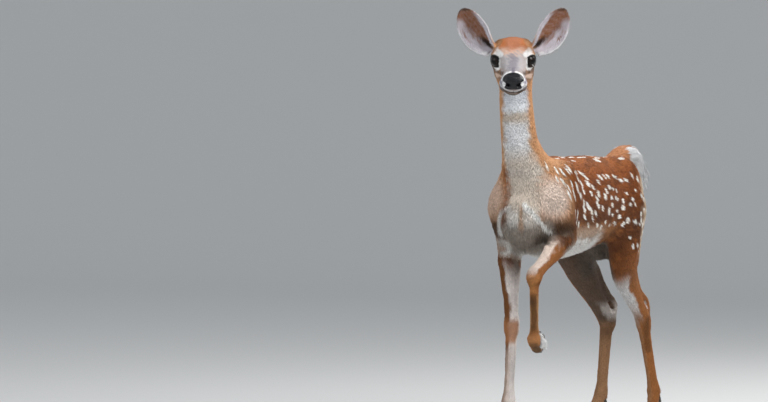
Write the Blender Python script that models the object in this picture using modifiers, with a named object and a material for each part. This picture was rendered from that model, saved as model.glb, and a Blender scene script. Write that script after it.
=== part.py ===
"""White-tailed deer fawn, about ten weeks old, standing with its left forefoot lifted.

Frame: metres, +Z up, the nose end of the body towards -Y and the fawn's left side towards +X.
The origin is on the floor, under the middle of the model's box.

The flesh is one blended form: tubes for the trunk, neck, head, limbs and tail, and balls for muscles
and knobs of bone. It is skinned once, then parted with thin cuts into its named pieces. Ears, eyes,
hooves and dewclaws are made on their own.
"""

import math
from collections import namedtuple

import bmesh
import bpy
import numpy as np
from mathutils import Matrix, Vector

# ---------------------------------------------------------------- driving dimensions (metres, degrees)
WITHERS = 0.589  # height of the back over the shoulders, to the tips of the coat
LEAN = -0.013  # sideways shift of the forehand, over the right foreleg that carries it
HEAD_TURN = 24.7  # the head looks this far to the fawn's left
HEAD_NOD = 20.5  # and the line of its palate dips this far
EYE_LINE = Vector((-0.0086, -0.2887, 0.7942))  # midway between the two eyeballs
EYE_RADIUS = 0.0145
EYE_PLACE = Vector((0.0325, 0.006, 0.0))  # an eyeball's centre in the head's frame: left, forward, up
EYE_SLIT = 0.0003
EYE_GAZE = Vector((0.72, 0.69, 0.02))  # the way an eye looks: left, forward, up
EAR_ROOT = Vector((0.040, -0.040, 0.005))  # in the head's frame, as are the tip and the opening
EAR_TIP = Vector((0.1090, -0.055, 0.0905))
EAR_OPENING = Vector((0.22, 1.0, 0.0))
EAR_HALF_WIDTH = 0.0335
EAR_SAG = 0.0090  # how far the middle hangs below the line from root to tip
EAR_THICKNESS = 0.0040
CLAW_LENGTH = 0.044  # one of the two hooves of a foot
CLAW_WIDTH = 0.0145
CLAW_HEIGHT = 0.021
CLAW_GAP = 0.0010
CUT = 0.0004  # thickness of the cuts that part the flesh into pieces
FLESH_VOXEL = 0.0038
FLESH_TRIANGLES = 5300

FORWARD = Vector((0, -1, 0))
UP = Vector((0, 0, 1))
LEFT = Vector((1, 0, 0))

head_frame = (
    Matrix.Translation(EYE_LINE)
    @ Matrix.Rotation(math.radians(HEAD_TURN), 4, "Z")
    @ Matrix.Rotation(math.radians(HEAD_NOD), 4, "X")
)


def in_head(left, forward, up):
    """A point of the head's own frame, whose origin lies midway between the eyes, in the fawn's frame."""
    return head_frame @ Vector((left, -forward, up))


# ---------------------------------------------------------------- scene and materials
for old in list(bpy.data.objects):
    bpy.data.objects.remove(old)
fawn = bpy.data.collections.new("white_tailed_fawn")
bpy.context.scene.collection.children.link(fawn)


def finish(name, colour, roughness, metallic=0.0):
    """One Principled material."""
    made = bpy.data.materials.new(name)
    made.use_nodes = True
    surface = made.node_tree.nodes["Principled BSDF"]
    surface.inputs["Base Color"].default_value = (*colour, 1)
    surface.inputs["Roughness"].default_value = roughness
    surface.inputs["Metallic"].default_value = metallic
    return made


RUFOUS = finish("rufous_coat", (0.30, 0.115, 0.040), 0.9)
PALE = finish("pale_coat", (0.62, 0.54, 0.47), 0.9)
NOSE = finish("nose_leather", (0.012, 0.012, 0.014), 0.35)
EYE = finish("dark_eye", (0.008, 0.006, 0.005), 0.05)
HORN = finish("hoof_horn", (0.018, 0.015, 0.013), 0.4)


def add_piece(name, mesh_source, material):
    """A bmesh becomes one named object of the fawn."""
    mesh = bpy.data.meshes.new(name)
    mesh_source.to_mesh(mesh)
    mesh_source.free()
    mesh.materials.clear()
    mesh.materials.append(material)
    mesh.shade_smooth()
    mesh.set_sharp_from_angle(angle=math.radians(50))
    piece = bpy.data.objects.new(name, mesh)
    fawn.objects.link(piece)
    return piece


# ---------------------------------------------------------------- forms: tubes and balls
Form = namedtuple("Form", "points fronts sides widths fores backs cap power blend hollow")


def smooth_path(values, steps):
    """Catmull-Rom points through rows of numbers, with steps to each span."""
    rows = np.array(values, float)
    ends = np.vstack([2 * rows[0] - rows[1], rows, 2 * rows[-1] - rows[-2]])
    made = []
    for i in range(1, len(ends) - 2):
        a, b, c, d = ends[i - 1 : i + 3]
        for t in np.arange(steps) / steps:
            made.append(
                b + 0.5 * t * (c - a + t * (2 * a - 5 * b + 4 * c - d + t * (3 * (b - c) + d - a)))
            )
    return np.array(made + [ends[-2]])


def tube(stations, front, blend, power=2.0, cap=None, hollow=False, steps=5):
    """A round limb. A station is (centre, half width, half depth to the front, half depth to the back)."""
    rows = smooth_path([[*s[0], *s[1:]] for s in stations], steps)
    centres = rows[:, :3]
    runs = np.gradient(centres, axis=0)
    runs /= np.linalg.norm(runs, axis=1, keepdims=True)
    fronts = np.array(front, float) - runs * (runs @ np.array(front, float))[:, None]
    fronts /= np.linalg.norm(fronts, axis=1, keepdims=True)
    cap = cap or float(rows[-1, 3:].min())
    sizes = np.maximum(rows[:, 3:], 0.001).T
    return Form(centres, fronts, np.cross(runs, fronts), *sizes, cap, power, blend, hollow)


def ball(centre, radii, blend, along=UP, front=FORWARD, hollow=False):
    """An egg-shaped lump: radii are its half width, its half depth to the front, and its half length along."""
    reach = along.normalized() * 0.001
    stations = [(centre + reach * i, radii[0], radii[1], radii[1]) for i in (-1, 1)]
    return tube(stations, front, blend, cap=radii[2], hollow=hollow, steps=1)


def gap_to(form, points):
    """Signed distance of points from one form, measured along the ray from its middle line."""
    a, b = form.points[:-1], form.points[1:]
    span = b - a
    share = ((points[:, None] - a) * span).sum(2) / (span**2).sum(1)
    share = share.clip(0, 1)
    off = points[:, None] - a - share[:, :, None] * span
    nearest = (off**2).sum(2).argmin(1)
    rows = np.arange(len(points))
    t, q = share[rows, nearest], off[rows, nearest]

    def between(values):
        weight = t if values.ndim == 1 else t[:, None]
        return values[nearest] * (1 - weight) + values[nearest + 1] * weight

    front, side = between(form.fronts), between(form.sides)
    ahead = (q * front).sum(1)
    across = (q * side).sum(1)
    along = np.sqrt(np.maximum((q**2).sum(1) - ahead**2 - across**2, 0))
    depth = np.where(ahead > 0, between(form.fores), between(form.backs))
    n = form.power
    ratio = np.abs(across / between(form.widths)) ** n + np.abs(ahead / depth) ** n
    ratio = (ratio + (along / form.cap) ** n) ** (1 / n)
    length = np.linalg.norm(q, axis=1)
    return length * (1 - 1 / np.maximum(ratio, 1e-6))


def blended(forms, points):
    """Signed distance of points from all the forms joined with soft fillets, with the hollows taken out."""
    total = np.full(len(points), 1.0)
    for form in forms:
        reach = float(max(form.widths.max(), form.fores.max(), form.backs.max(), form.cap)) + 0.07
        near = (points > form.points.min(0) - reach).all(1) & (points < form.points.max(0) + reach).all(1)
        if not near.any():
            continue
        gap, so_far = gap_to(form, points[near]), total[near]
        sign = -1 if form.hollow else 1
        mix = np.maximum(form.blend - np.abs(sign * so_far - gap), 0) / form.blend
        total[near] = sign * (np.minimum(sign * so_far, gap) - mix**2 * form.blend / 4)
    return total


# ---------------------------------------------------------------- the trunk, neck and tail
def trunk_forms():
    """Each row: y, height of the back, height of the belly, half width."""
    outline = (
        (-0.236, 0.503, 0.410, 0.046),
        (-0.200, 0.552, 0.386, 0.062),
        (-0.150, 0.582, 0.374, 0.070),
        (-0.090, WITHERS, 0.370, 0.075),
        (-0.030, 0.586, 0.376, 0.081),
        (0.040, 0.588, 0.388, 0.082),
        (0.100, 0.587, 0.405, 0.077),
        (0.150, 0.583, 0.424, 0.069),
        (0.192, 0.575, 0.441, 0.060),
        (0.226, 0.556, 0.466, 0.043),
    )
    stations = []
    for y, top, bottom, half in outline:
        lean = LEAN * min(max((0.12 - y) / 0.3, 0), 1)
        half_height = (top - bottom) / 2
        stations.append((Vector((lean, y, (top + bottom) / 2)), half, half_height, half_height))
    forms = [tube(stations, UP, 0.04, power=2.15, cap=0.026)]
    for side in (-1, 1):
        # shoulder blade and its muscle, then the upper arm
        forms.append(
            ball(Vector((side * 0.050 + LEAN, -0.148, 0.4960)), (0.029, 0.050, 0.085), 0.03, Vector((0, 0.35, 1)))
        )
        forms.append(
            ball(Vector((side * 0.060 + LEAN, -0.200, 0.4817)), (0.030, 0.040, 0.044), 0.03, Vector((0, -0.2, 1)))
        )
        # haunch
        forms.append(
            ball(Vector((side * 0.042, 0.162, 0.5039)), (0.037, 0.068, 0.078), 0.035, Vector((0, -0.15, 1)))
        )
    forms.append(ball(Vector((LEAN * 0.6, -0.232, 0.4386)), (0.036, 0.030, 0.044), 0.03))  # breastbone
    forms.append(ball(Vector((-0.002, 0.143, 0.396)), (0.026, 0.042, 0.034), 0.02))  # groin
    return forms


def neck_forms():
    stations = (
        (Vector((LEAN, -0.150, 0.4819)), 0.062, 0.078, 0.070),
        (Vector((LEAN, -0.200, 0.5480)), 0.058, 0.058, 0.056),
        (Vector((-0.0150, -0.232, 0.5950)), 0.0435, 0.044, 0.053),
        (Vector((-0.0155, -0.246, 0.6307)), 0.0385, 0.039, 0.046),
        (Vector((-0.0158, -0.256, 0.6794)), 0.0360, 0.036, 0.042),
        (Vector((-0.0160, -0.262, 0.7195)), 0.0345, 0.035, 0.042),
        (Vector((-0.0130, -0.264, 0.7600)), 0.0325, 0.034, 0.040),
    )
    return [tube(stations, FORWARD, 0.04, cap=0.022)]


def tail_forms():
    stations = (
        (Vector((0.000, 0.195, 0.5602)), 0.022, 0.022, 0.020),
        (Vector((0.002, 0.240, 0.5819)), 0.025, 0.020, 0.018),
        (Vector((0.002, 0.273, 0.5864)), 0.028, 0.019, 0.018),
        (Vector((0.002, 0.296, 0.5740)), 0.027, 0.018, 0.018),
        (Vector((0.003, 0.310, 0.5540)), 0.024, 0.016, 0.016),
        (Vector((0.004, 0.319, 0.5340)), 0.018, 0.012, 0.012),
        (Vector((0.005, 0.325, 0.5180)), 0.008, 0.006, 0.006),
    )
    return [tube(stations, UP, 0.018, cap=0.007)]


# ---------------------------------------------------------------- the head
def head_forms():
    """Cranium and bridge of the nose as one tube, the lower jaw as another, and the knobs on them."""
    skull = (
        (in_head(0, -0.060, -0.010), 0.029, 0.028, 0.030),
        (in_head(0, -0.045, -0.004), 0.0370, 0.036, 0.040),
        (in_head(0, -0.020, -0.003), 0.0395, 0.0375, 0.042),
        (in_head(0, 0.008, -0.006), 0.037, 0.0385, 0.040),
        (in_head(0, 0.034, -0.012), 0.0295, 0.034, 0.030),
        (in_head(0, 0.060, -0.015), 0.0240, 0.0280, 0.026),
        (in_head(0, 0.082, -0.017), 0.0215, 0.0245, 0.022),
        (in_head(0, 0.095, -0.018), 0.0180, 0.0185, 0.016),
    )
    jaw = (
        (in_head(0, -0.040, -0.040), 0.027, 0.020, 0.020),
        (in_head(0, -0.010, -0.044), 0.026, 0.018, 0.018),
        (in_head(0, 0.030, -0.042), 0.021, 0.014, 0.013),
        (in_head(0, 0.062, -0.038), 0.0195, 0.012, 0.0105),
        (in_head(0, 0.080, -0.034), 0.0155, 0.011, 0.0105),
    )
    top = (head_frame.to_3x3() @ UP).normalized()
    fore = (head_frame.to_3x3() @ FORWARD).normalized()
    forms = [
        tube(skull, top, 0.02, power=2.2, cap=0.011),
        tube(jaw, top, 0.014, cap=0.008),
    ]
    for side in (-1, 1):
        knobs = (
            ((0.030, 0.000, 0.003), (0.0175, 0.020, 0.0195), 0.011),  # rim of the eye socket
            ((0.031, -0.016, -0.012), (0.012, 0.014, 0.026), 0.014),  # cheekbone
            ((0.024, -0.024, -0.036), (0.014, 0.024, 0.026), 0.016),  # jaw muscle
            ((0.0165, 0.078, -0.027), (0.0120, 0.012, 0.019), 0.012),  # upper lip
            ((0.0120, 0.094, -0.011), (0.0090, 0.0105, 0.010), 0.007),  # wing of the nostril
            ((0.028, -0.044, 0.010), (0.0135, 0.015, 0.015), 0.012),  # root of the ear
        )
        for place, radii, blend in knobs:
            forms.append(ball(in_head(side * place[0], place[1], place[2]), radii, blend, fore, top))
        place = EYE_PLACE + EYE_GAZE.normalized() * 0.0175
        opening = in_head(side * place.x, place.y, place.z)
        forms.append(ball(opening, (0.0140, 0.0132, 0.0140), 0.005, fore, top, hollow=True))
    forms.append(ball(in_head(0, 0.084, -0.038), (0.013, 0.009, 0.010), 0.008, fore, top))  # chin
    forms.append(ball(in_head(0, 0.0, 0.050), (0.007, 0.014, 0.022), 0.012, fore, top, hollow=True))
    return forms


# ---------------------------------------------------------------- the legs
# shoulder or hip, elbow or stifle, knee or hock, fetlock (a height of 0 is worked out from the pastern);
# then the foot's heading to the left, its flexion about the fetlock and the pastern's slope, in degrees
LEGS = {
    "fore_right": (
        (-0.066, -0.182, 0.452),
        (-0.076, -0.162, 0.385),
        (-0.056, -0.192, 0.231),
        (-0.049, -0.224, 0),
        -6,
        0,
        17,
    ),
    "fore_left": (
        (0.055, -0.200, 0.461),
        (0.060, -0.178, 0.420),
        (0.046, -0.303, 0.344),
        (0.0235, -0.252, 0.203),
        18,
        110,
        26,
    ),
    "hind_right": (
        (-0.045, 0.158, 0.495),
        (-0.061, 0.098, 0.398),
        (-0.040, 0.270, 0.228),
        (-0.052, 0.266, 0),
        -26,
        0,
        32,
    ),
    "hind_left": (
        (0.047, 0.158, 0.493),
        (0.063, 0.106, 0.396),
        (0.048, 0.262, 0.229),
        (0.064, 0.288, 0),
        2,
        0,
        12,
    ),
}
PASTERN = 0.0735  # from the fetlock to the middle of the sole
JOINTS = ("shoulder", "upper", "middle", "fetlock")


def joint(leg, name):
    place = Vector(LEGS[leg][JOINTS.index(name)])
    if place.z == 0:
        place.z = pastern(leg).z
    return place


def pastern(leg):
    """The fetlock's place above and behind the middle of the sole, in the foot's own frame."""
    slope = math.radians(LEGS[leg][6])
    return Vector((0, PASTERN * math.sin(slope), PASTERN * math.cos(slope)))


def foot_frame(leg):
    """The foot's frame: its origin in the middle of the sole, the toe towards -Y and the fetlock above."""
    turn = Matrix.Rotation(math.radians(LEGS[leg][4]), 4, "Z")
    fold = Matrix.Rotation(math.radians(LEGS[leg][5]), 4, "X")
    return Matrix.Translation(joint(leg, "fetlock")) @ turn @ fold @ Matrix.Translation(-pastern(leg))


def between(a, b, share):
    return a.lerp(b, share)


def foot_form(leg):
    """Fetlock, pastern and the soft rim over the hooves, with the bulbs of the heel behind."""
    frame, top = foot_frame(leg), pastern(leg)
    stations = (
        (frame @ top, 0.0132, 0.0140, 0.0160),
        (frame @ (top * 0.66), 0.0120, 0.0118, 0.0132),
        (frame @ (top * 0.42), 0.0140, 0.0132, 0.0150),
        (frame @ Vector((0, -0.001, 0.015)), 0.0150, 0.0150, 0.0165),
    )
    ahead = frame.to_3x3() @ FORWARD
    return tube(stations, ahead, 0.008, power=2.3, cap=0.006)


def fore_forms(leg):
    shoulder, elbow = joint(leg, "shoulder"), joint(leg, "upper")
    knee, fetlock = joint(leg, "middle"), joint(leg, "fetlock")
    ahead = FORWARD if leg == "fore_right" else Vector((0, -1, -0.2))
    slim = 1.0 if leg == "fore_right" else 0.80  # the lifted cannon shows its narrow side
    arm = (
        (shoulder, 0.030, 0.036, 0.036),
        (elbow, 0.024, 0.030, 0.034),
        (between(elbow, knee, 0.22), 0.0205, 0.0255, 0.0265),
        (between(elbow, knee, 0.50), 0.0170, 0.0190, 0.0190),
        (between(elbow, knee, 0.80), 0.0140, 0.0145, 0.0150),
        (between(elbow, knee, 0.96), 0.0165, 0.0160, 0.0160),
        (between(knee, fetlock, 0.06), 0.0160, 0.0150, 0.0150),
        (between(knee, fetlock, 0.17), 0.0120 * slim, 0.0120, 0.0125),
        (between(knee, fetlock, 0.45), 0.0106 * slim, 0.0112, 0.0118),
        (between(knee, fetlock, 0.80), 0.0106 * slim, 0.0112, 0.0122),
        (between(knee, fetlock, 0.96), 0.0142, 0.0135, 0.0150),
    )
    return [tube(arm, ahead, 0.022, power=2.1, cap=0.010), foot_form(leg)]


def hind_forms(leg):
    hip, stifle = joint(leg, "shoulder"), joint(leg, "upper")
    hock, fetlock = joint(leg, "middle"), joint(leg, "fetlock")
    shin = hock - stifle
    turned = Matrix.Rotation(math.radians(LEGS[leg][4]), 3, "Z")
    ahead = turned @ FORWARD
    heel = hock + turned @ Vector((0, 0.018, 0.026))  # the point of the hock
    inward = Vector((-0.006 if leg == "hind_left" else 0.006, 0, 0))
    bend = Vector((-0.009, -0.004, 0)) * (1 if leg == "hind_left" else 0)  # the left gaskin turns in
    thigh = (
        (hip + Vector((0, 0.010, 0)), 0.036, 0.066, 0.070),
        (between(hip, stifle, 0.55) + Vector((0, 0.006, 0)), 0.036, 0.062, 0.066),
        (stifle + Vector((0, 0.022, 0.0)), 0.030, 0.046, 0.048),
        (stifle + shin * 0.26 + bend * 0.6, 0.0260, 0.034, 0.034),
        (stifle + shin * 0.48 + bend, 0.0215, 0.030, 0.026),
        (stifle + shin * 0.72 + bend * 0.6, 0.0165, 0.0225, 0.018),
        (stifle + shin * 0.90, 0.0150, 0.0200, 0.0170),
        (between(hock, fetlock, 0.05), 0.0150, 0.0175, 0.0170),
        (between(hock, fetlock, 0.18), 0.0125, 0.0135, 0.0150),
        (between(hock, fetlock, 0.45), 0.0110, 0.0120, 0.0132),
        (between(hock, fetlock, 0.80), 0.0106, 0.0118, 0.0130),
        (between(hock, fetlock, 0.96), 0.0128, 0.0132, 0.0155),
    )
    hamstring = (
        (hip + inward * 0.5 + Vector((0, 0.050, -0.020)), 0.028, 0.036, 0.036),
        (stifle + shin * 0.22 + inward + Vector((0, 0.035, 0.020)), 0.024, 0.026, 0.024),
        (stifle + shin * 0.48 + inward * 0.5 + bend + Vector((0, 0.024, 0.024)), 0.0165, 0.018, 0.016),
        (stifle + shin * 0.74 + bend * 0.7 + turned @ Vector((0, 0.019, 0.021)), 0.0098, 0.0115, 0.0105),
        (heel + turned @ Vector((0, -0.006, 0.014)), 0.0085, 0.0100, 0.0088),
        (heel, 0.0092, 0.0100, 0.0098),
        (hock + turned @ Vector((0, 0.013, 0.004)), 0.0098, 0.0100, 0.0092),
        (hock + turned @ Vector((0, 0.009, -0.012)), 0.0092, 0.0092, 0.0086),
    )
    return [
        tube(thigh, ahead, 0.030, power=2.1, cap=0.010),
        tube(hamstring, ahead, 0.014, cap=0.008),
        foot_form(leg),
    ]


def flesh_forms():
    forms = trunk_forms() + neck_forms() + head_forms() + tail_forms()
    for leg in LEGS:
        forms += fore_forms(leg) if leg.startswith("fore") else hind_forms(leg)
    return forms


# ---------------------------------------------------------------- skinning the flesh
def rough_flesh(forms):
    """Balls strung along every form, merged into one skin of even faces."""
    mesh = bmesh.new()
    for form in forms:
        if form.hollow:
            continue
        runs = np.cross(form.fronts, form.sides)
        for i, centre in enumerate(form.points):
            depth = (form.fores[i] + form.backs[i]) / 2
            shift = form.fronts[i] * (form.fores[i] - form.backs[i]) / 2
            length = form.cap if i in (0, len(form.points) - 1) else max(form.cap, 0.6 * min(depth, form.widths[i]))
            axes = Matrix([list(form.sides[i]), list(form.fronts[i]), list(runs[i])]).transposed()
            place = Matrix.Translation(Vector(centre + shift)) @ axes.to_4x4()
            size = Matrix.Diagonal((form.widths[i], depth, length, 1))
            bmesh.ops.create_icosphere(mesh, subdivisions=3, radius=1.0, matrix=place @ size)
    rough = bpy.data.meshes.new("rough_flesh")
    mesh.to_mesh(rough)
    mesh.free()
    holder = bpy.data.objects.new("rough_flesh", rough)
    bpy.context.scene.collection.objects.link(holder)
    skin = holder.modifiers.new("even_faces", "REMESH")
    skin.mode = "VOXEL"
    skin.voxel_size = FLESH_VOXEL
    return holder


def evaluated(holder):
    """The object's mesh with its modifiers applied, as a mesh of its own. The object is removed."""
    bpy.context.view_layer.update()
    graph = bpy.context.evaluated_depsgraph_get()
    mesh = bpy.data.meshes.new_from_object(holder.evaluated_get(graph), depsgraph=graph)
    bpy.data.objects.remove(holder)
    return mesh


def settle(mesh, forms, rounds=3, step=0.0005):
    """Moves every vertex along the slope of the blended form until it lies on it."""
    points = np.empty(len(mesh.vertices) * 3)
    mesh.vertices.foreach_get("co", points)
    points = points.reshape(-1, 3)
    for _ in range(rounds):
        gap = blended(forms, points)
        slope = np.stack([blended(forms, points + step * axis) - gap for axis in np.eye(3)], 1) / step
        steep = np.maximum((slope**2).sum(1), 0.2)
        points = points - slope * (gap / steep).clip(-0.008, 0.008)[:, None]
    mesh.vertices.foreach_set("co", points.ravel())
    mesh.update()


def skinned_flesh(forms):
    mesh = evaluated(rough_flesh(forms))
    settle(mesh, forms)
    holder = bpy.data.objects.new("fine_flesh", mesh)
    bpy.context.scene.collection.objects.link(holder)
    calm = holder.modifiers.new("calm", "SMOOTH")
    calm.factor = 0.5
    calm.iterations = 2
    faces = sum(len(p.vertices) - 2 for p in mesh.polygons)
    plain = holder.vertex_groups.new(name="plain")
    for vertex in mesh.vertices:
        near_head = (vertex.co - in_head(0, 0.03, -0.01)).length < 0.095
        on_trunk = vertex.co.z > 0.38 and vertex.co.y < 0.25
        plain.add([vertex.index], 0.40 if near_head else 0.80 if on_trunk else 0.40, "REPLACE")
    thin = holder.modifiers.new("fewer_faces", "DECIMATE")
    thin.ratio = FLESH_TRIANGLES / faces
    thin.vertex_group = "plain"
    thin.vertex_group_factor = 1.0
    return evaluated(holder)


# ---------------------------------------------------------------- parting the flesh
def cut_off(mesh, faces, point, normal):
    """Splits the faces along a plane. Gives back the faces now standing in their place."""
    geometry = {v for f in faces for v in f.verts} | {e for f in faces for e in f.edges} | set(faces)
    cut = bmesh.ops.bisect_plane(
        mesh,
        geom=list(geometry),
        dist=0.00002,
        use_snap_center=True,
        plane_co=point,
        plane_no=normal,
    )
    return [g for g in cut["geom"] if isinstance(g, bmesh.types.BMFace)]


def close_holes(mesh):
    bmesh.ops.holes_fill(mesh, edges=[e for e in mesh.edges if e.is_boundary], sides=0)
    bmesh.ops.recalc_face_normals(mesh, faces=mesh.faces)


def part_with_slit(mesh, centre, normal, reach):
    """Cuts a slit of thickness CUT through the limb at centre, and closes both ends."""
    normal = normal.normalized()
    faces = [f for f in mesh.faces if any((v.co - centre).length < reach for v in f.verts)]
    for side in (-1, 1):
        faces = cut_off(mesh, faces, centre + normal * side * CUT / 2, normal)
    waste = [f for f in faces if all(abs((v.co - centre).dot(normal)) < CUT * 0.51 for v in f.verts)]
    bmesh.ops.delete(mesh, geom=waste, context="FACES")
    close_holes(mesh)


def trim_for_hooves(mesh, leg):
    """Ends the flesh of a foot on the sloping rim of its hooves."""
    frame = foot_frame(leg)
    centre, normal = rim_plane(frame, CUT / 2)
    faces = [f for f in mesh.faces if (f.calc_center_median() - centre).length < 0.032]
    faces = cut_off(mesh, faces, centre, normal)
    waste = [f for f in faces if (f.calc_center_median() - centre).dot(normal) < 0]
    bmesh.ops.delete(mesh, geom=waste, context="FACES")
    close_holes(mesh)


def rim_plane(frame, lift):
    """The plane between the hooves and the flesh: higher in front, tipped down to the heel."""
    normal = Vector((0, 0.30, 1.0)).normalized()
    centre = Vector((0, -0.004, CLAW_HEIGHT)) + normal * lift
    return frame @ centre, (frame.to_3x3() @ normal).normalized()


def islands(mesh):
    """The separate bodies of a bmesh, as lists of vertices."""
    left, found = set(mesh.verts), []
    while left:
        todo, body = [left.pop()], []
        while todo:
            vertex = todo.pop()
            body.append(vertex)
            for edge in vertex.link_edges:
                other = edge.other_vert(vertex)
                if other in left:
                    left.discard(other)
                    todo.append(other)
        found.append(body)
    return found


def flesh_cuts():
    """Centre, direction and reach of each cut."""
    turn = head_frame.to_3x3()
    cuts = [
        (in_head(0, -0.042, -0.041), turn @ Vector((0, -0.44, 0.90)), 0.085),  # head from neck
        (in_head(0, 0.0900, -0.014), turn @ Vector((0, -1, 0.05)), 0.040),  # nose
        (Vector((LEAN, -0.205, 0.572)), Vector((0, -0.55, 1)), 0.125),  # neck from trunk
        (Vector((0.003, 0.265, 0.586)), Vector((0, 1, 0.1)), 0.045),  # tail
    ]
    for leg in LEGS:
        upper, middle, fetlock = (joint(leg, n) for n in ("upper", "middle", "fetlock"))
        share, reach = {"fore_right": (0.26, 0.055), "fore_left": (0.56, 0.045)}.get(leg, (0.36, 0.070))
        shift = Vector((0, 0.010, 0)) if leg.startswith("hind") else Vector((0, 0, 0))
        cuts.append((between(upper, middle, share) + shift, middle - upper, reach))
        cuts.append((between(middle, fetlock, 0.16), fetlock - middle, 0.050))
        cuts.append((between(middle, fetlock, 0.86), fetlock - middle, 0.045))
    return cuts


def flesh_names():
    """A point near the middle of each piece of flesh, by the piece's name."""
    names = {
        "head": in_head(0, 0.015, -0.015),
        "nose": in_head(0, 0.098, -0.018),
        "neck": Vector((-0.015, -0.245, 0.66)),
        "trunk": Vector((0, 0.03, 0.47)),
        "tail": Vector((0.005, 0.31, 0.55)),
    }
    for leg in LEGS:
        upper, middle, fetlock = (joint(leg, n) for n in ("upper", "middle", "fetlock"))
        names[leg + ("_forearm" if leg.startswith("fore") else "_gaskin")] = between(upper, middle, 0.8)
        names[leg + "_cannon"] = between(middle, fetlock, 0.5)
        names[leg + "_pastern"] = foot_frame(leg) @ (pastern(leg) * 0.6)
    return names


def flesh_pieces(mesh):
    """Parts the flesh and adds each body under the name whose point lies nearest to its middle."""
    for centre, normal, reach in flesh_cuts():
        part_with_slit(mesh, centre, normal, reach)
    for leg in LEGS:
        trim_for_hooves(mesh, leg)
    bodies = islands(mesh)
    names = flesh_names()
    print("bodies of flesh:", len(bodies), "names:", len(names))
    pieces = {}
    for body in sorted(bodies, key=len, reverse=True):
        middle = sum((v.co for v in body), Vector()) / len(body)
        name = min((n for n in names if n not in pieces), key=lambda n: (names[n] - middle).length)
        chosen = set(body)
        single = mesh.copy()
        keep = {v.index for v in chosen}
        bmesh.ops.delete(single, geom=[v for v in single.verts if v.index not in keep], context="VERTS")
        bmesh.ops.triangulate(single, faces=single.faces)
        print(f"  {name}: {len(single.faces)} triangles, {(names[name] - middle).length * 1000:.0f} mm off")
        pieces[name] = add_piece(name, single, NOSE if name == "nose" else RUFOUS)
    return pieces


# ---------------------------------------------------------------- Boolean cuts
def cut_away(piece, cutters):
    """Takes the cutters away from a piece and removes them."""
    for cutter in cutters:
        cutter.hide_render = True
        cut = piece.modifiers.new("cut", "BOOLEAN")
        cut.operation = "DIFFERENCE"
        cut.solver = "EXACT"
        cut.object = cutter
    bpy.context.view_layer.update()
    graph = bpy.context.evaluated_depsgraph_get()
    mesh = bpy.data.meshes.new_from_object(piece.evaluated_get(graph), depsgraph=graph)
    piece.modifiers.clear()
    piece.data = mesh
    for cutter in cutters:
        bpy.data.objects.remove(cutter)


def swollen(piece, by):
    """A copy of a piece grown by a distance all round."""
    mesh = bmesh.new()
    mesh.from_mesh(piece.data)
    mesh.normal_update()
    moves = [(v, v.normal * v.calc_shell_factor()) for v in mesh.verts]
    for vertex, move in moves:
        vertex.co += move.normalized() * min(move.length, 2.0) * by
    return add_piece(piece.name + "_cutter", mesh, RUFOUS)


# ---------------------------------------------------------------- eyes and ears
def eyeball(side, radius, name):
    mesh = bmesh.new()
    gaze = Vector((side * EYE_GAZE.x, -EYE_GAZE.y, EYE_GAZE.z))
    aim = (head_frame.to_3x3() @ gaze).to_track_quat("Z", "Y").to_matrix().to_4x4()
    place = Matrix.Translation(in_head(side * EYE_PLACE.x, EYE_PLACE.y, EYE_PLACE.z))
    bmesh.ops.create_uvsphere(mesh, u_segments=14, v_segments=9, radius=radius, matrix=place @ aim)
    bmesh.ops.triangulate(mesh, faces=mesh.faces)
    return add_piece(name, mesh, EYE)


def ear(side, name):
    """A leaf-shaped cup on a rolled stalk, thickened towards its back."""
    root, tip = (Vector((v.x * side, -v.y, v.z)) for v in (EAR_ROOT, EAR_TIP))
    opening = Vector((EAR_OPENING.x * side, -EAR_OPENING.y, EAR_OPENING.z))
    axis = tip - root
    ahead = (opening - axis * opening.dot(axis) / axis.length_squared).normalized()
    across = axis.normalized().cross(ahead)
    lower = across * side
    rows, columns = 13, 7
    mesh = bmesh.new()
    grid = []
    for i in range(rows):
        s = math.sin(math.pi / 2 * i / (rows - 1)) ** 1.15
        half = EAR_HALF_WIDTH * (0.36 + 0.64 * math.sin(math.pi / 2 * min(s / 0.5, 1)) ** 1.2)
        half *= max(1 - max((s - 0.42) / 0.58, 0) ** 2.6, 0.02) ** 0.62
        spread = math.radians(132 - 86 * min(s / 0.45, 1) ** 0.8)
        radius = half / math.sin(min(spread, math.pi / 2))
        bow = ahead * 0.010 * math.sin(math.pi * s) * -1
        sag = lower * EAR_SAG * math.sin(math.pi * s) * (1.7 - 1.5 * s)
        centre = root + axis * s + bow + sag
        line = []
        for j in range(columns):
            turn = spread * (2 * j / (columns - 1) - 1)
            place = centre + across * radius * math.sin(turn) + ahead * radius * (1 - math.cos(turn))
            line.append(mesh.verts.new(head_frame @ place))
        grid.append(line)
    for a, b in zip(grid, grid[1:]):
        for j in range(columns - 1):
            mesh.faces.new((a[j], a[j + 1], b[j + 1], b[j]))
    bmesh.ops.recalc_face_normals(mesh, faces=mesh.faces)
    leaf = add_piece(name, mesh, PALE)
    thick = leaf.modifiers.new("thickness", "SOLIDIFY")
    thick.thickness = EAR_THICKNESS
    thick.offset = 0
    thick.use_even_offset = True
    split = leaf.modifiers.new("triangles", "TRIANGULATE")
    split.min_vertices = 4
    cut_away(leaf, [])
    return leaf


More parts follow.
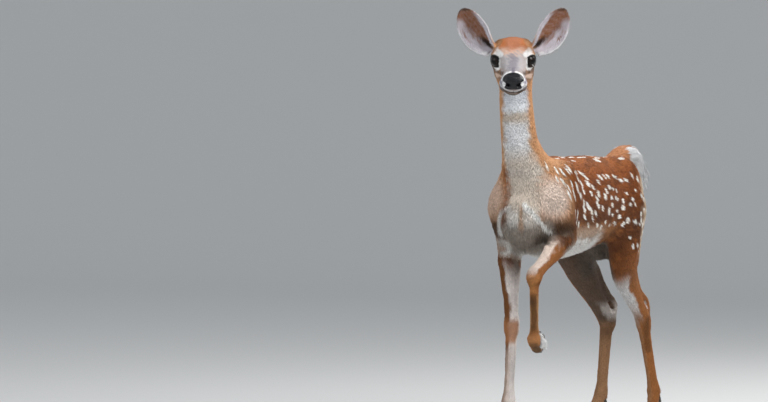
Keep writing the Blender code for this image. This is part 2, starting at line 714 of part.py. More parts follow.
# ---------------------------------------------------------------- hooves and dewclaws
def claw_outline(side, share):
    """Half a hoof print at a share of the hoof's height: straight inside, bowed outside, pointed in front."""
    length = CLAW_LENGTH * (1 - 0.30 * share)
    heel = 0.5 * CLAW_LENGTH - 0.003 * share
    inner = CLAW_GAP / 2
    prints = (
        (0.00, 0.20, 0.80),
        (0.10, 0.02, 0.97),
        (0.30, 0.00, 1.00),
        (0.55, 0.00, 0.97),
        (0.75, 0.04, 0.82),
        (0.90, 0.16, 0.56),
        (1.00, 0.30, 0.38),
    )
    inside = [(side * (inner + CLAW_WIDTH * a), heel - length * s) for s, a, b in prints]
    outside = [(side * (inner + CLAW_WIDTH * b * (1 - 0.06 * share)), heel - length * s) for s, a, b in prints]
    return inside + outside[::-1]


def claw(leg, side, name):
    frame = foot_frame(leg)
    centre, normal = rim_plane(Matrix.Identity(4), -CUT / 2)
    mesh = bmesh.new()
    loops = []
    for share in (0.0, 0.45, 1.0):
        loop = []
        for x, y in claw_outline(side, share):
            roof = centre.z - (y - centre.y) * normal.y / normal.z
            loop.append(mesh.verts.new(frame @ Vector((x, y, roof * share))))
        loops.append(loop)
    count = len(loops[0])
    for low, high in zip(loops, loops[1:]):
        for i in range(count):
            j = (i + 1) % count
            mesh.faces.new((low[i], low[j], high[j], high[i]))
    mesh.faces.new(loops[0])
    mesh.faces.new(loops[-1])
    bmesh.ops.recalc_face_normals(mesh, faces=mesh.faces)
    bmesh.ops.triangulate(mesh, faces=mesh.faces)
    return add_piece(name, mesh, HORN)


def dewclaw(leg, side, name):
    """A small blunt cone behind the pastern, under the fetlock."""
    frame = foot_frame(leg)
    top = pastern(leg)
    root = Vector((side * 0.0080, top.y * 0.86 + 0.008, top.z - 0.012))
    tip = Vector((side * 0.0100, top.y * 0.86 + 0.0155, top.z - 0.026))
    axis = tip - root
    aim = axis.to_track_quat("Z", "Y").to_matrix().to_4x4()
    mesh = bmesh.new()
    place = frame @ Matrix.Translation(root.lerp(tip, 0.5)) @ aim
    bmesh.ops.create_cone(
        mesh, cap_ends=True, segments=8, radius1=0.0048, radius2=0.0027, depth=axis.length, matrix=place
    )
    bmesh.ops.triangulate(mesh, faces=mesh.faces)
    return add_piece(name, mesh, HORN)


# ---------------------------------------------------------------- the build
print("forms and flesh")
forms = flesh_forms()
flesh_mesh = skinned_flesh(forms)
whole = bmesh.new()
whole.from_mesh(flesh_mesh)
bmesh.ops.triangulate(whole, faces=whole.faces)
bubbles = sorted(islands(whole), key=len)[:-1]  # closed hollows left inside the flesh
bmesh.ops.delete(whole, geom=[v for bubble in bubbles for v in bubble], context="VERTS")
print("edges without two faces:", sum(not e.is_manifold for e in whole.edges))
pieces = flesh_pieces(whole)

print("eyes, ears, hooves and dewclaws")
sides = {"left": 1, "right": -1}
sockets = [eyeball(side, EYE_RADIUS + EYE_SLIT, f"socket_{word}") for word, side in sides.items()]
cut_away(pieces["head"], sockets)
for word, side in sides.items():
    eyeball(side, EYE_RADIUS, f"eye_{word}")
    cut_away(ear(side, f"ear_{word}"), [swollen(pieces["head"], CUT)])
for leg in LEGS:
    for word, side in sides.items():
        claw(leg, side, f"{leg}_hoof_{word}")
        pad = dewclaw(leg, side, f"{leg}_dewclaw_{word}")
        cut_away(pad, [swollen(pieces[leg + "_pastern"], CUT)])

# ---------------------------------------------------------------- the origin, under the middle of the box
corners = [Vector(v.co) for piece in fawn.objects for v in piece.data.vertices]
low = Vector([min(c[i] for c in corners) for i in range(3)])
high = Vector([max(c[i] for c in corners) for i in range(3)])
shift = Vector((-(low.x + high.x) / 2, -(low.y + high.y) / 2, -low.z))
print("shift to the origin", [round(v, 5) for v in shift], "size", [round(v, 4) for v in high - low])
for piece in fawn.objects:
    piece.data.transform(Matrix.Translation(shift))
print("triangles in all:", sum(len(p.vertices) - 2 for o in fawn.objects for p in o.data.polygons))
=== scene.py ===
# %% [markdown]
# # A white-tailed deer fawn, life size
# The model is a young fawn standing on three legs with its left foreleg raised, as a museum shows it.
# One closed skin takes the place of the measured solids, and a coat of many small tufts lies over it.
# Eyes, lids, nose leather, hooves and dewclaws are pieces of their own. Lengths are in metres: x points
# to the fawn's left, y to its tail and z up, and every place starts from the boxes of the solids.

# %% Load the measured frame
import math
import bmesh
import bpy
import numpy as np
from collections import namedtuple
from mathutils import Matrix, Vector


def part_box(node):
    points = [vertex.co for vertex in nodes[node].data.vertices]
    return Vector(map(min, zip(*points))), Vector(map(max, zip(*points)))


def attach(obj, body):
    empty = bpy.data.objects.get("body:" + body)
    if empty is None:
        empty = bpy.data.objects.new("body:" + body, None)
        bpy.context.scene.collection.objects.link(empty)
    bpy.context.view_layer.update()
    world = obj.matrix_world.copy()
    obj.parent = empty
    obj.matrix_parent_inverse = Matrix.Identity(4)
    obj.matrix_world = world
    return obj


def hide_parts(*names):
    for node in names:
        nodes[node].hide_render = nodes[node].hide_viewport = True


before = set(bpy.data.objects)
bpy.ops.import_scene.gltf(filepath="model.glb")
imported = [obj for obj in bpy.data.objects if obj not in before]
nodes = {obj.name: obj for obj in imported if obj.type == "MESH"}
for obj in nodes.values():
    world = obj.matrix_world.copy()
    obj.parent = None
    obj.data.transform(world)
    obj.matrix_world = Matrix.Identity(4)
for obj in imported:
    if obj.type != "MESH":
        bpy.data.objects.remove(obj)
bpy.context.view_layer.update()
chance = np.random.default_rng(11)

# %% [markdown]
# ## Camera, floor and light
# The fawn is looked at from a little to the left of its path, from the height of its head and almost
# level. A long lens from far away keeps the legs upright and parallel. The floor is one pale sheet that turns
# up behind the animal, so that no corner shows, and only its front can be seen, so that the fawn can be
# looked at from behind as well. A large soft lamp stands in front and above, a weaker one fills from the
# other side and a third draws a light edge on the back and the ears.

# %% Camera
VIEW_TURN, VIEW_RISE, VIEW_DISTANCE = math.radians(26.0), math.radians(1.5), 12.0
VIEW_WIDTH = 1.641  # what the picture's width takes in at the fawn
VIEW_ASIDE, VIEW_ABOVE = -0.3765, 0.4915  # the middle of the picture, from the middle of the stance


def toward(turn, rise):
    """The direction from the fawn to something at that turn to its left and that height."""
    return Vector((math.sin(turn) * math.cos(rise), -math.cos(turn) * math.cos(rise), math.sin(rise)))


back = toward(VIEW_TURN, VIEW_RISE)
right = Vector((math.cos(VIEW_TURN), math.sin(VIEW_TURN), 0))
above = back.cross(right)
aim = right * VIEW_ASIDE + above * VIEW_ABOVE
lens = bpy.data.cameras.new("view")
lens.sensor_width = 36
lens.angle = 2 * math.atan(VIEW_WIDTH / 2 / VIEW_DISTANCE)
lens.clip_start, lens.clip_end = 0.1, 100
camera = bpy.data.objects.new("view", lens)
camera.location = aim + back * VIEW_DISTANCE
camera.rotation_euler = Matrix((right, above, back)).transposed().to_euler()
bpy.context.collection.objects.link(camera)
bpy.context.scene.camera = camera
print("camera height", round(camera.location.z, 3))


# %% Materials of the stage, lamps and surrounding light
def new_material(name):
    """A node material with only its output and shader, and the shader."""
    material = bpy.data.materials.new(name)
    material.use_nodes = True
    return material, material.node_tree.nodes["Principled BSDF"]


def add_node(tree, kind, links=(), **values):
    """A node with its settings, and its inputs linked or given a value by name or number."""
    node = tree.nodes.new("ShaderNode" + kind)
    for key, value in values.items():
        setattr(node, key, value)
    for socket, source in links:
        if hasattr(source, "is_output"):
            tree.links.new(source, node.inputs[socket])
        else:
            node.inputs[socket].default_value = source
    return node


def tone(red, green, blue):
    """A colour given as it looks on a screen, from 0 to 255, as the light it reflects."""
    shown = np.array((red, green, blue)) / 255
    return np.where(shown <= 0.04045, shown / 12.92, ((shown + 0.055) / 1.055) ** 2.4)


def soft_lamp(name, turn, rise, distance, size, power, warmth):
    """A round soft lamp at a turn and a rise in degrees, which looks at the middle of the fawn."""
    lamp = bpy.data.lights.new(name, "AREA")
    lamp.shape, lamp.size = "DISK", size
    lamp.energy, lamp.color = power, warmth
    holder = bpy.data.objects.new(name, lamp)
    direction = toward(math.radians(turn), math.radians(rise))
    holder.location = Vector((0, 0, 0.5)) + direction * distance
    holder.rotation_euler = direction.to_track_quat("Z", "Y").to_euler()
    bpy.context.collection.objects.link(holder)


soft_lamp("key_lamp", turn=62, rise=40, distance=3.0, size=1.6, power=62, warmth=(1.0, 0.98, 0.96))
soft_lamp("fill_lamp", turn=-30, rise=22, distance=3.4, size=2.2, power=24, warmth=(0.95, 0.98, 1.0))
soft_lamp("edge_lamp", turn=150, rise=42, distance=3.0, size=1.2, power=50, warmth=(1.0, 0.99, 0.98))
world = bpy.data.worlds.new("pale_room")
world.use_nodes = True
sky = world.node_tree.nodes["Background"]
sky.inputs["Color"].default_value = (0.86, 0.90, 0.95, 1)
sky.inputs["Strength"].default_value = 0.62
bpy.context.scene.world = world
bpy.context.scene.view_settings.view_transform = "Standard"
print("lamps", len(bpy.data.lights))


# %% Floor sheet
def new_piece(name, mesh_source, material=None):
    """Turns a bmesh into an object of the scene, standing at the origin."""
    mesh = bpy.data.meshes.new(name)
    mesh_source.to_mesh(mesh)
    mesh_source.free()
    piece = bpy.data.objects.new(name, mesh)
    if material:
        mesh.materials.append(material)
    bpy.context.collection.objects.link(piece)
    return piece


def verts_in(geometry):
    """The points among what a bmesh operator made."""
    return [item for item in geometry if isinstance(item, bmesh.types.BMVert)]


FLOOR_REACH, WALL_HEIGHT, BEND = 9.0, 7.0, 3.0
FLOOR_GAP = 0.0006  # keeps the soles from lying in the sheet's own plane
floor_finish, floor_shader = new_material("pale_floor")
floor_shader.inputs["Base Color"].default_value = (0.62, 0.62, 0.61, 1)
floor_shader.inputs["Roughness"].default_value = 0.9
floor_tree = floor_finish.node_tree
seen_side = add_node(floor_tree, "NewGeometry")
clear = add_node(floor_tree, "BsdfTransparent")
one_way = add_node(floor_tree, "MixShader", [
    ("Fac", seen_side.outputs["Backfacing"]), (1, floor_shader.outputs["BSDF"]), (2, clear.outputs["BSDF"])])
floor_tree.links.new(one_way.outputs["Shader"], floor_tree.nodes["Material Output"].inputs["Surface"])
sheet = bmesh.new()
bmesh.ops.create_grid(sheet, x_segments=1, y_segments=1, size=FLOOR_REACH)
far_edge = max(sheet.edges, key=lambda e: (e.verts[0].co + e.verts[1].co).y)
raised = bmesh.ops.extrude_edge_only(sheet, edges=[far_edge])
bmesh.ops.translate(sheet, vec=(0, 0, WALL_HEIGHT), verts=verts_in(raised["geom"]))
bmesh.ops.bevel(sheet, geom=[far_edge], offset=BEND, segments=16, profile=0.5, affect="EDGES", material=-1)
bmesh.ops.translate(sheet, vec=(0, 0, -FLOOR_GAP), verts=sheet.verts)
bmesh.ops.recalc_face_normals(sheet, faces=sheet.faces)
if sum(f.normal.z for f in sheet.faces) < 0:
    bmesh.ops.reverse_faces(sheet, faces=sheet.faces)
floor = new_piece("floor_sheet", sheet, floor_finish)
floor.data.shade_smooth()
print("floor and wall", len(floor.data.polygons), "faces")

# %% [markdown]
# ## Landmarks
# The head has its own directions: left through both eyes, forward along the muzzle and up through the
# crown. The eyes' boxes give its place and turn, and the dip of the palate is a named angle. Each limb
# is a chain of solids, and the long axis of each one is a line along which its hair lies. Such a line,
# called a lane here, also says how long and how wide the hair tufts beside it are.


# %% Small vector helpers
def unit(rows):
    """Directions with a length of 1."""
    rows = np.asarray(rows, float)
    return rows / np.maximum(np.linalg.norm(rows, axis=-1, keepdims=True), 1e-9)


def dots(a, b):
    return (a * b).sum(-1)


def ramp(values, start, end):
    """0 before start and 1 after end, with a soft change between them."""
    t = np.clip((values - start) / (end - start), 0, 1)
    return t * t * (3 - 2 * t)


def middle(node):
    """The middle of a solid's box."""
    low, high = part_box(node)
    return np.array((low + high) / 2)


def mesh_points(mesh):
    flat = np.empty(len(mesh.vertices) * 3)
    mesh.vertices.foreach_get("co", flat)
    return flat.reshape(-1, 3)


def put_points(mesh, places):
    mesh.vertices.foreach_set("co", places.ravel())
    mesh.update()


SIDES = ((1, "left"), (-1, "right"))
print("helpers ready")


# %% The head's directions
NOD = math.radians(20.5)
EYE_RADIUS = 0.0145
EYES_AHEAD = 0.006  # how far the eye line lies ahead of the head's middle
eye_places = {side: middle("eye_" + name) for side, name in SIDES}
head_left = unit(eye_places[1] - eye_places[-1])
level = np.cross(head_left, (0, 0, 1.0))
head_forward = math.cos(NOD) * level - math.sin(NOD) * np.array((0, 0, 1.0))
head_up = np.cross(head_forward, head_left)
head_axes = np.array((head_left, head_forward, head_up))
head_middle = (eye_places[1] + eye_places[-1]) / 2 - head_forward * EYES_AHEAD


def head_way(left, forward, up):
    """A direction given to the head's left, forward and up."""
    return np.array((left, forward, up)) @ head_axes


def in_head(left, forward, up):
    """A place given from the head's middle to its left, forward and up."""
    return head_middle + head_way(left, forward, up)


def head_measures(points):
    """How far points lie to the left of, ahead of and above the middle of the eye line."""
    return ((points - head_middle) @ head_axes.T).T


print("eye line", np.round(head_middle, 4), "looks", np.round(head_forward, 3))


# %% Long axes of the solids
def long_axis(node, onward):
    """The two ends of a solid's long axis, the second one nearer to the place onward."""
    points = mesh_points(nodes[node].data)
    centre = (points.max(0) + points.min(0)) / 2
    run = np.linalg.svd(points - points.mean(0), full_matrices=False)[2][0]
    run = run if dots(run, onward - centre) > 0 else -run
    along = (points - centre) @ run
    return centre + run * along.min(), centre + run * along.max()


Lane = namedtuple("Lane", "part start end reach lie length width depth")
LEGS = ("fore_right", "fore_left", "hind_right", "hind_left")
lanes = []


def lay(part, start, end, reach, length, lie=None, width=None, depth=None):
    """Adds a lane: hair near it lies from its start to its end, or the way lie gives."""
    start, end = np.array(start, float), np.array(end, float)
    lie = unit(end - start if lie is None else lie)
    width = 0.0006 + 0.12 * length if width is None else width
    depth = 0.17 * length if depth is None else depth
    lanes.append(Lane(part, start, end, reach, lie, length, width, depth))


for leg in LEGS:
    upper = leg + ("_forearm" if leg.startswith("fore") else "_gaskin")
    hooves = (middle(leg + "_hoof_left") + middle(leg + "_hoof_right")) / 2
    thigh = long_axis(upper, middle(leg + "_cannon"))
    cannon = long_axis(leg + "_cannon", middle(leg + "_pastern"))
    fetlock = cannon[1] + (middle(leg + "_pastern") - cannon[1]) * 0.15
    lay(leg, thigh[0], thigh[1], 0.030, 0.0068)
    lay(leg, cannon[0], cannon[1], 0.022, 0.0048)
    lay(leg, fetlock, hooves, 0.022, 0.0050, lie=hooves - fetlock + np.array((0, 0, -0.004)))
print("limb lanes", len(lanes))

# %% Lanes of the trunk, neck and tail
tail_low, tail_high = (np.array(c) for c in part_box("tail"))
SPINE_X, LEAN = 0.0162, -0.013


def spine_x(y):
    """The trunk leans to the right over the forelegs."""
    return SPINE_X + LEAN * np.clip((0.14 - y) / 0.3, 0, 1)


for y0, y1, drop in ((-0.10, 0.0, -0.42), (0.0, 0.10, -0.30), (0.10, 0.20, -0.45)):  # ribs, back and belly
    lay("trunk", (spine_x(y0), y0, 0.49), (spine_x(y1), y1, 0.49), 0.075, 0.0110, lie=(0, 1, drop))
    lay("trunk", (spine_x(y0), y0, 0.60), (spine_x(y1), y1, 0.60), 0.040, 0.0115, lie=(0, 1, -0.05))
    lay("belly", (spine_x(y0), y0, 0.36), (spine_x(y1), y1, 0.385), 0.050, 0.0150, lie=(0, 1, -0.12))
lay("chest", (0.0, -0.20, 0.54), (0.002, -0.19, 0.43), 0.055, 0.0120, lie=(0, 0.10, -1))
lay("chest", (0.002, -0.20, 0.42), (0.003, -0.15, 0.36), 0.048, 0.0150, lie=(0, 0.55, -0.8))
for side in (1, -1):
    shoulder = (spine_x(-0.13) + side * 0.062, -0.15, 0.52)
    lay("trunk", shoulder, (shoulder[0], -0.12, 0.42), 0.045, 0.0100, lie=(0, 0.40, -0.9))
    haunch = (SPINE_X + side * 0.060, 0.20, 0.52)
    lay("trunk", haunch, (haunch[0], 0.17, 0.41), 0.050, 0.0105, lie=(0, 0.45, -0.9))
    buttock, buttock_end = (SPINE_X + side * 0.030, 0.245, 0.54), (SPINE_X + side * 0.042, 0.235, 0.42)
    lay("rump", buttock, buttock_end, 0.022, 0.0140, lie=(side * 0.12, 0.30, -1))
neck_x = spine_x(-0.2)
lay("neck", in_head(0, -0.045, -0.050), (neck_x, -0.225, 0.62), 0.045, 0.0095, lie=(0, 0.10, -1))
lay("neck", (neck_x, -0.215, 0.62), (neck_x, -0.16, 0.56), 0.055, 0.0105, lie=(0, 0.42, -1))
tail_x = (tail_low[0] + tail_high[0]) / 2
tail_path = [
    (tail_x - 0.006, 0.225, 0.580),
    (tail_x - 0.004, tail_low[1] + 0.005, tail_high[2] - 0.019),
    (tail_x, tail_low[1] + 0.034, tail_high[2] - 0.024),
    (tail_x, tail_high[1] - 0.022, tail_high[2] - 0.060),
    (tail_x, tail_high[1] - 0.007, tail_low[2]),
]
for start, end in zip(tail_path, tail_path[1:]):
    lay("tail", start, end, 0.022, 0.0155, depth=0.0022)
print("lanes down to the tail", len(lanes))

# %% Lanes of the head and ears
def ear_ends(side):
    """The root and the tip of an ear."""
    return in_head(side * 0.040, -0.040, 0.005), in_head(side * 0.109, -0.055, 0.0905)


def lay_on_head(start, end, reach, length, way):
    """A lane between two places of the head, with its hair lying in a direction of the head."""
    lay("head", in_head(*start), in_head(*end), reach, length, lie=head_way(*way))


lay_on_head((0, 0.085, 0.0), (0, 0.030, 0.020), 0.016, 0.0028, (0, -1, 0.35))  # bridge of the nose
lay_on_head((0, 0.010, 0.026), (0, -0.045, 0.028), 0.020, 0.0050, (0, -1, 0.25))  # crown
for side in (1, -1):
    muzzle_end, cheek = (side * 0.018, 0.088, -0.020), (side * 0.026, 0.030, -0.018)
    lay_on_head(muzzle_end, cheek, 0.016, 0.0030, (side * 0.25, -1, 0.05))
    jaw, jaw_end = (side * 0.036, 0.010, -0.018), (side * 0.034, -0.035, -0.024)
    lay_on_head(jaw, jaw_end, 0.018, 0.0055, (side * 0.15, -1, -0.35))
    root, tip = ear_ends(side)
    root = root + head_way(0, 0, 0.002)
    lay("ear", root + (tip - root) * 0.12, tip, 0.026, 0.0048, width=0.0011, depth=0.0006)
lay_on_head((0, 0.075, -0.045), (0, -0.030, -0.062), 0.016, 0.0055, (0, -1, -0.12))  # under the chin
print("lanes in all", len(lanes))


# %% Shares of the lanes at a place
def lane_shares(points, power=6.0):
    """How much each lane counts at each point; the shares of a point add up to one."""
    shares = np.empty((len(points), len(lanes)))
    for k, lane in enumerate(lanes):
        run = lane.end - lane.start
        along = np.clip(((points - lane.start) @ run) / (run @ run), 0, 1)
        gap = np.linalg.norm(points - lane.start - along[:, None] * run, axis=1)
        shares[:, k] = (lane.reach / (gap + 0.004)) ** power
    return shares / shares.sum(1, keepdims=True)


def lane_values(shares, field):
    """A field of the lanes, mixed by their shares at each point."""
    return shares @ np.array([getattr(lane, field) for lane in lanes])


def part_share(shares, *parts):
    """How much the lanes of some parts count together at each point."""
    return shares[:, [k for k, lane in enumerate(lanes) if lane.part in parts]].sum(1)


# %% [markdown]
# ## The skin
# Under its coat the fawn has one unbroken skin. The solids of flesh and the ears are copied, welded,
# swollen by a hair's breadth so that they overlap, and turned into one closed surface by a voxel remesh.
# Sculpting by hand would also close them, but would not follow the measured outline. The remesh leaves
# steps and facets, so the points are relaxed without shrinking, the body is thinned out where it is
# plain, and the surface is made finer again round the eyes, the nose and the mouth.

# %% One closed surface from the solids of flesh
OVERLAP, VOXEL = 0.0004, 0.0017
flesh = [name for name in sorted(nodes) if not any(word in name for word in ("eye", "hoof", "dewclaw"))]
joined = bmesh.new()
for name in flesh + ["eye_left", "eye_right"]:  # the eyeballs fill their sockets for now
    piece = bmesh.new()
    piece.from_mesh(nodes[name].data)
    bmesh.ops.remove_doubles(piece, verts=piece.verts, dist=1e-5)
    piece.normal_update()
    for vert in piece.verts:
        vert.co += vert.normal * OVERLAP
    holder = bpy.data.meshes.new("copy")
    piece.to_mesh(holder)
    piece.free()
    joined.from_mesh(holder)
    bpy.data.meshes.remove(holder)
skin = new_piece("skin", joined)
closing = skin.modifiers.new("closing", "REMESH")
closing.mode, closing.voxel_size = "VOXEL", VOXEL


def settled(piece):
    """Replaces a piece's mesh by what its modifiers make of it."""
    made = bpy.data.meshes.new_from_object(piece.evaluated_get(bpy.context.evaluated_depsgraph_get()))
    piece.modifiers.clear()
    piece.data = made
    return piece


settled(skin)
print("closed surface", len(skin.data.vertices), "points")


# %% Keep the outer shell only
def drop_small_islands(piece):
    """Deletes all but the largest of a mesh's separate parts."""
    shell = bmesh.new()
    shell.from_mesh(piece.data)
    unseen, groups = set(shell.verts), []
    while unseen:
        heap, group = [unseen.pop()], []
        while heap:
            vert = heap.pop()
            group.append(vert)
            for edge in vert.link_edges:
                other = edge.other_vert(vert)
                if other in unseen:
                    unseen.remove(other)
                    heap.append(other)
        groups.append(group)
    groups.sort(key=len)
    bmesh.ops.delete(shell, geom=[v for group in groups[:-1] for v in group], context="VERTS")
    shell.to_mesh(piece.data)
    shell.free()
    return len(groups) - 1


print("inner shells removed", drop_small_islands(skin))


# %% Relax the facets
def relaxed(mesh, rounds, give=0.5, take=0.0, hold=None):
    """Moves points to the mean of their neighbours; take then moves them out again, against shrinking."""
    points = mesh_points(mesh)
    pairs = np.empty(len(mesh.edges) * 2, np.int64)
    mesh.edges.foreach_get("vertices", pairs)
    a, b = pairs.reshape(-1, 2).T
    count = np.bincount(a, minlength=len(points)) + np.bincount(b, minlength=len(points))
    share = 1.0 if hold is None else hold[:, None]
    for turn in range(rounds):
        for strength in (give, -take) if take else (give,):
            mean = np.stack([
                np.bincount(a, points[b, axis], len(points)) + np.bincount(b, points[a, axis], len(points))
                for axis in range(3)
            ], 1) / count[:, None]
            points = points + (mean - points) * strength * share
    put_points(mesh, points)


TAKE = 0.52  # a little more than a round gives, so that nothing shrinks
relaxed(skin.data, 18, take=TAKE)
shares = lane_shares(mesh_points(skin.data))
broad = ramp(part_share(shares, "trunk", "belly", "chest", "rump", "neck", "tail"), 0.5, 0.95)
relaxed(skin.data, 110, hold=broad)
relaxed(skin.data, 12, hold=ramp(part_share(shares, *LEGS), 0.5, 0.95))
relaxed(skin.data, 18, hold=ramp(part_share(shares, "ear"), 0.6, 0.95))
print("relaxed", len(skin.data.vertices), "points")

# %% Thin out the plain parts
keep = skin.vertex_groups.new(name="thinning")
face_share = part_share(shares, "head", "ear")
thin = 1.0 - 0.75 * ramp(face_share, 0.3, 0.7)
for weight in np.unique(np.round(thin, 1)):
    keep.add(np.flatnonzero(np.round(thin, 1) == weight).tolist(), float(weight), "REPLACE")
fewer = skin.modifiers.new("fewer", "DECIMATE")
fewer.ratio = 0.21  # of the faces
fewer.vertex_group = "thinning"
settled(skin)
print("thinned to", len(skin.data.polygons), "faces")


# %% Finer round eyes, nose and mouth
def refine(piece, near):
    """Splits every face whose middle is near: near takes points and gives a mask."""
    fine = bmesh.new()
    fine.from_mesh(piece.data)
    middles = np.array([f.calc_center_median() for f in fine.faces])
    chosen = near(middles)
    edges = {e for f, yes in zip(fine.faces, chosen) if yes for e in f.edges}
    bmesh.ops.subdivide_edges(fine, edges=list(edges), cuts=1, use_grid_fill=True)
    bmesh.ops.triangulate(fine, faces=[f for f in fine.faces if len(f.verts) > 3])
    fine.to_mesh(piece.data)
    fine.free()


def near_eyes(points, reach):
    return np.minimum(*(np.linalg.norm(points - eye_places[side], axis=1) for side in (1, -1))) < reach


def near_muzzle(points):
    left, forward, up = head_measures(points)
    return (forward > 0.072) & (forward < 0.13) & (np.abs(left) < 0.06) & (np.abs(up) < 0.08)


refine(skin, lambda p: near_eyes(p, 0.025) | near_muzzle(p))
points = mesh_points(skin.data)
left, forward, up = head_measures(points)
front = ramp(forward, 0.080, 0.092) * (np.abs(left) < 0.06) * (np.abs(up) < 0.09)
relaxed(skin.data, 12, hold=front)
relaxed(skin.data, 6, take=TAKE, hold=ramp(part_share(lane_shares(points), "head"), 0.5, 0.9))
print("refined to", len(skin.data.polygons), "faces")


# %% [markdown]
# ## Sculpting the face
# A deer's face has a ridge over each eye, a slit-shaped scent gland in front of it, soft nostrils shaped
# like commas, a groove down the upper lip and a fine line where the lips meet. Each one is a small push
# or pull of the skin's points, written as a rounded bump at a place of the head. A displacement picture
# would need an unwrap, while bumps stay where they are when the mesh changes. The bumps are finished by
# narrowing the face in front of each eye, so that the eye stands free of it.

# %% Directions of an eye
GAZE = unit((0.62, 0.78, 0.02))


def eye_axes(side):
    """The eye's gaze, its level direction towards the nose, and its upward direction."""
    gaze = unit(head_way(side * GAZE[0], GAZE[1], GAZE[2]))
    inner = unit(head_forward - gaze * dots(head_forward, gaze))
    return gaze, inner, np.cross(inner, gaze) * side


print("the left eye looks", np.round(eye_axes(1)[0], 3))


# %% Tools for bumps and grooves
def point_normals(mesh):
    flat = np.empty(len(mesh.vertices) * 3)
    mesh.vertex_normals.foreach_get("vector", flat)
    return flat.reshape(-1, 3)


def near_spot(points, place, reach):
    """1 at a place of the head and 0 far from it; reach is its size to the left, forward and up."""
    offset = (head_measures(points).T - np.array(place)) / np.array(reach)
    return np.exp(-(offset**2).sum(1))


def near_line(points, start, end, reach):
    """1 on a straight line in the head and 0 far from it."""
    places = head_measures(points).T
    start, end = np.array(start), np.array(end)
    run = end - start
    along = np.clip(((places - start) @ run) / (run @ run), 0, 1)
    return np.exp(-((places - start - along[:, None] * run) ** 2).sum(1) / reach**2)


def mouth_line(left):
    """How high the lips meet: the line climbs a little towards its corners."""
    return -0.0378 + 0.0100 * ramp(np.abs(left), 0.004, 0.028)


# %% Brows, glands, nostril wings, lips and the groove between them
points, normals = mesh_points(skin.data), point_normals(skin.data)
left, forward, up = head_measures(points)
push = np.zeros(len(points))
for side in (1, -1):
    gland, gland_end = (side * 0.0300, 0.027, -0.009), (side * 0.0262, 0.037, -0.014)
    fold, fold_end = (side * 0.0310, 0.028, -0.014), (side * 0.0272, 0.038, -0.019)
    push += 0.0016 * near_spot(points, (side * 0.031, 0.012, 0.019), (0.012, 0.014, 0.008))  # brow
    push -= 0.0013 * near_spot(points, (side * 0.0270, 0.044, -0.020), (0.012, 0.014, 0.010))  # cheek hollow
    push -= 0.0016 * near_line(points, gland, gland_end, 0.0022)
    push += 0.0010 * near_line(points, fold, fold_end, 0.0030)
    push += 0.0016 * near_spot(points, (side * 0.0175, 0.098, -0.0120), (0.006, 0.008, 0.006))  # nostril wing
    push += 0.0012 * near_spot(points, (side * 0.0190, 0.080, -0.0300), (0.010, 0.014, 0.008))  # upper lip
groove = np.exp(-((left / 0.0016) ** 2)) * ramp(forward, 0.090, 0.098)
push -= 0.0012 * groove * ramp(-up, 0.016, 0.026) * (up > -0.040)
lips = np.exp(-(((up - mouth_line(left)) / 0.0017) ** 2)) * ramp(forward, 0.050, 0.058)
push -= 0.0021 * lips * (np.abs(left) < 0.04)
points = points + normals * push[:, None]
print("largest push", round(float(np.abs(push).max()) * 1000, 2), "mm")

# %% A narrower face in front of the eyes
FACE_HALF = 0.0262
narrow = ramp(forward, 0.010, 0.019) * (1 - ramp(forward, 0.050, 0.065))
narrow = narrow * ramp(up, -0.026, -0.015) * (1 - ramp(up, 0.012, 0.020))
for side in (1, -1):
    gaze, inner, upright = eye_axes(side)
    offset = points - eye_places[side]
    before_eye = ramp(offset @ inner / np.linalg.norm(offset, axis=1), 0.20, 0.50) * (side * left > 0)
    excess = np.maximum(side * left - FACE_HALF, 0) * narrow * before_eye
    points = points - side * 0.9 * excess[:, None] * head_left
print("widest push inwards", round(float(excess.max()) * 1000, 2), "mm")

# %% Nostrils
NOSTRIL_DEPTH = 0.0075
for side in (1, -1):
    start, bend = (side * 0.0110, 0.1055, -0.0190), (side * 0.0165, 0.1000, -0.0145)
    end = (side * 0.0205, 0.0930, -0.0170)
    pit = np.maximum(near_line(points, start, bend, 0.0038), 0.7 * near_line(points, bend, end, 0.0022))
    inward = head_way(-side * 0.25, -1, 0.1)
    points = points + NOSTRIL_DEPTH * np.clip(pit * 1.3 - 0.15, 0, 1)[:, None] * inward
put_points(skin.data, points)
print("nostrils", len(SIDES))

# %% [markdown]
# ## Eyes and lids
# A fawn's eye is large and dark, looks ahead and sideways and shows almost no white. The eyeball bulges
# slightly where the cornea is, and the long pupil lies level. Bare black lid margins ring it. The skin is
# pressed in behind the ball inside the rounded opening, with its corner towards the nose, and kept just
# outside the ball elsewhere. A closed ring with a rounded edge makes each pair of lids, because a clean
# edge can't be cut from the skin's points.


# %% Openings of the lids
def opening_angle(turn):
    """Half the opening of the lids, as an angle at the eyeball's centre; turn is 0 towards the nose."""
    level = 1.12 - 0.03 * np.clip(np.cos(turn), 0, 1)
    half = 1 / np.sqrt((np.cos(turn) / level) ** 2 + (np.sin(turn) / 0.96) ** 2)
    corner = 0.22 * np.exp(-((((turn + 0.45 + np.pi) % (2 * np.pi)) - np.pi) / 0.38) ** 2)
    return half + corner


def round_the_eye(points, side):
    """Points' distance and direction from an eye, and where they lie from its gaze, 0, to its lids, 1."""
    gaze, inner, upright = eye_axes(side)
    offset = points - eye_places[side]
    far = np.linalg.norm(offset, axis=1)
    heading = offset / far[:, None]
    turn = np.arctan2(heading @ upright, heading @ inner)
    return far, heading, np.arccos(np.clip(heading @ gaze, -1, 1)) / opening_angle(turn)


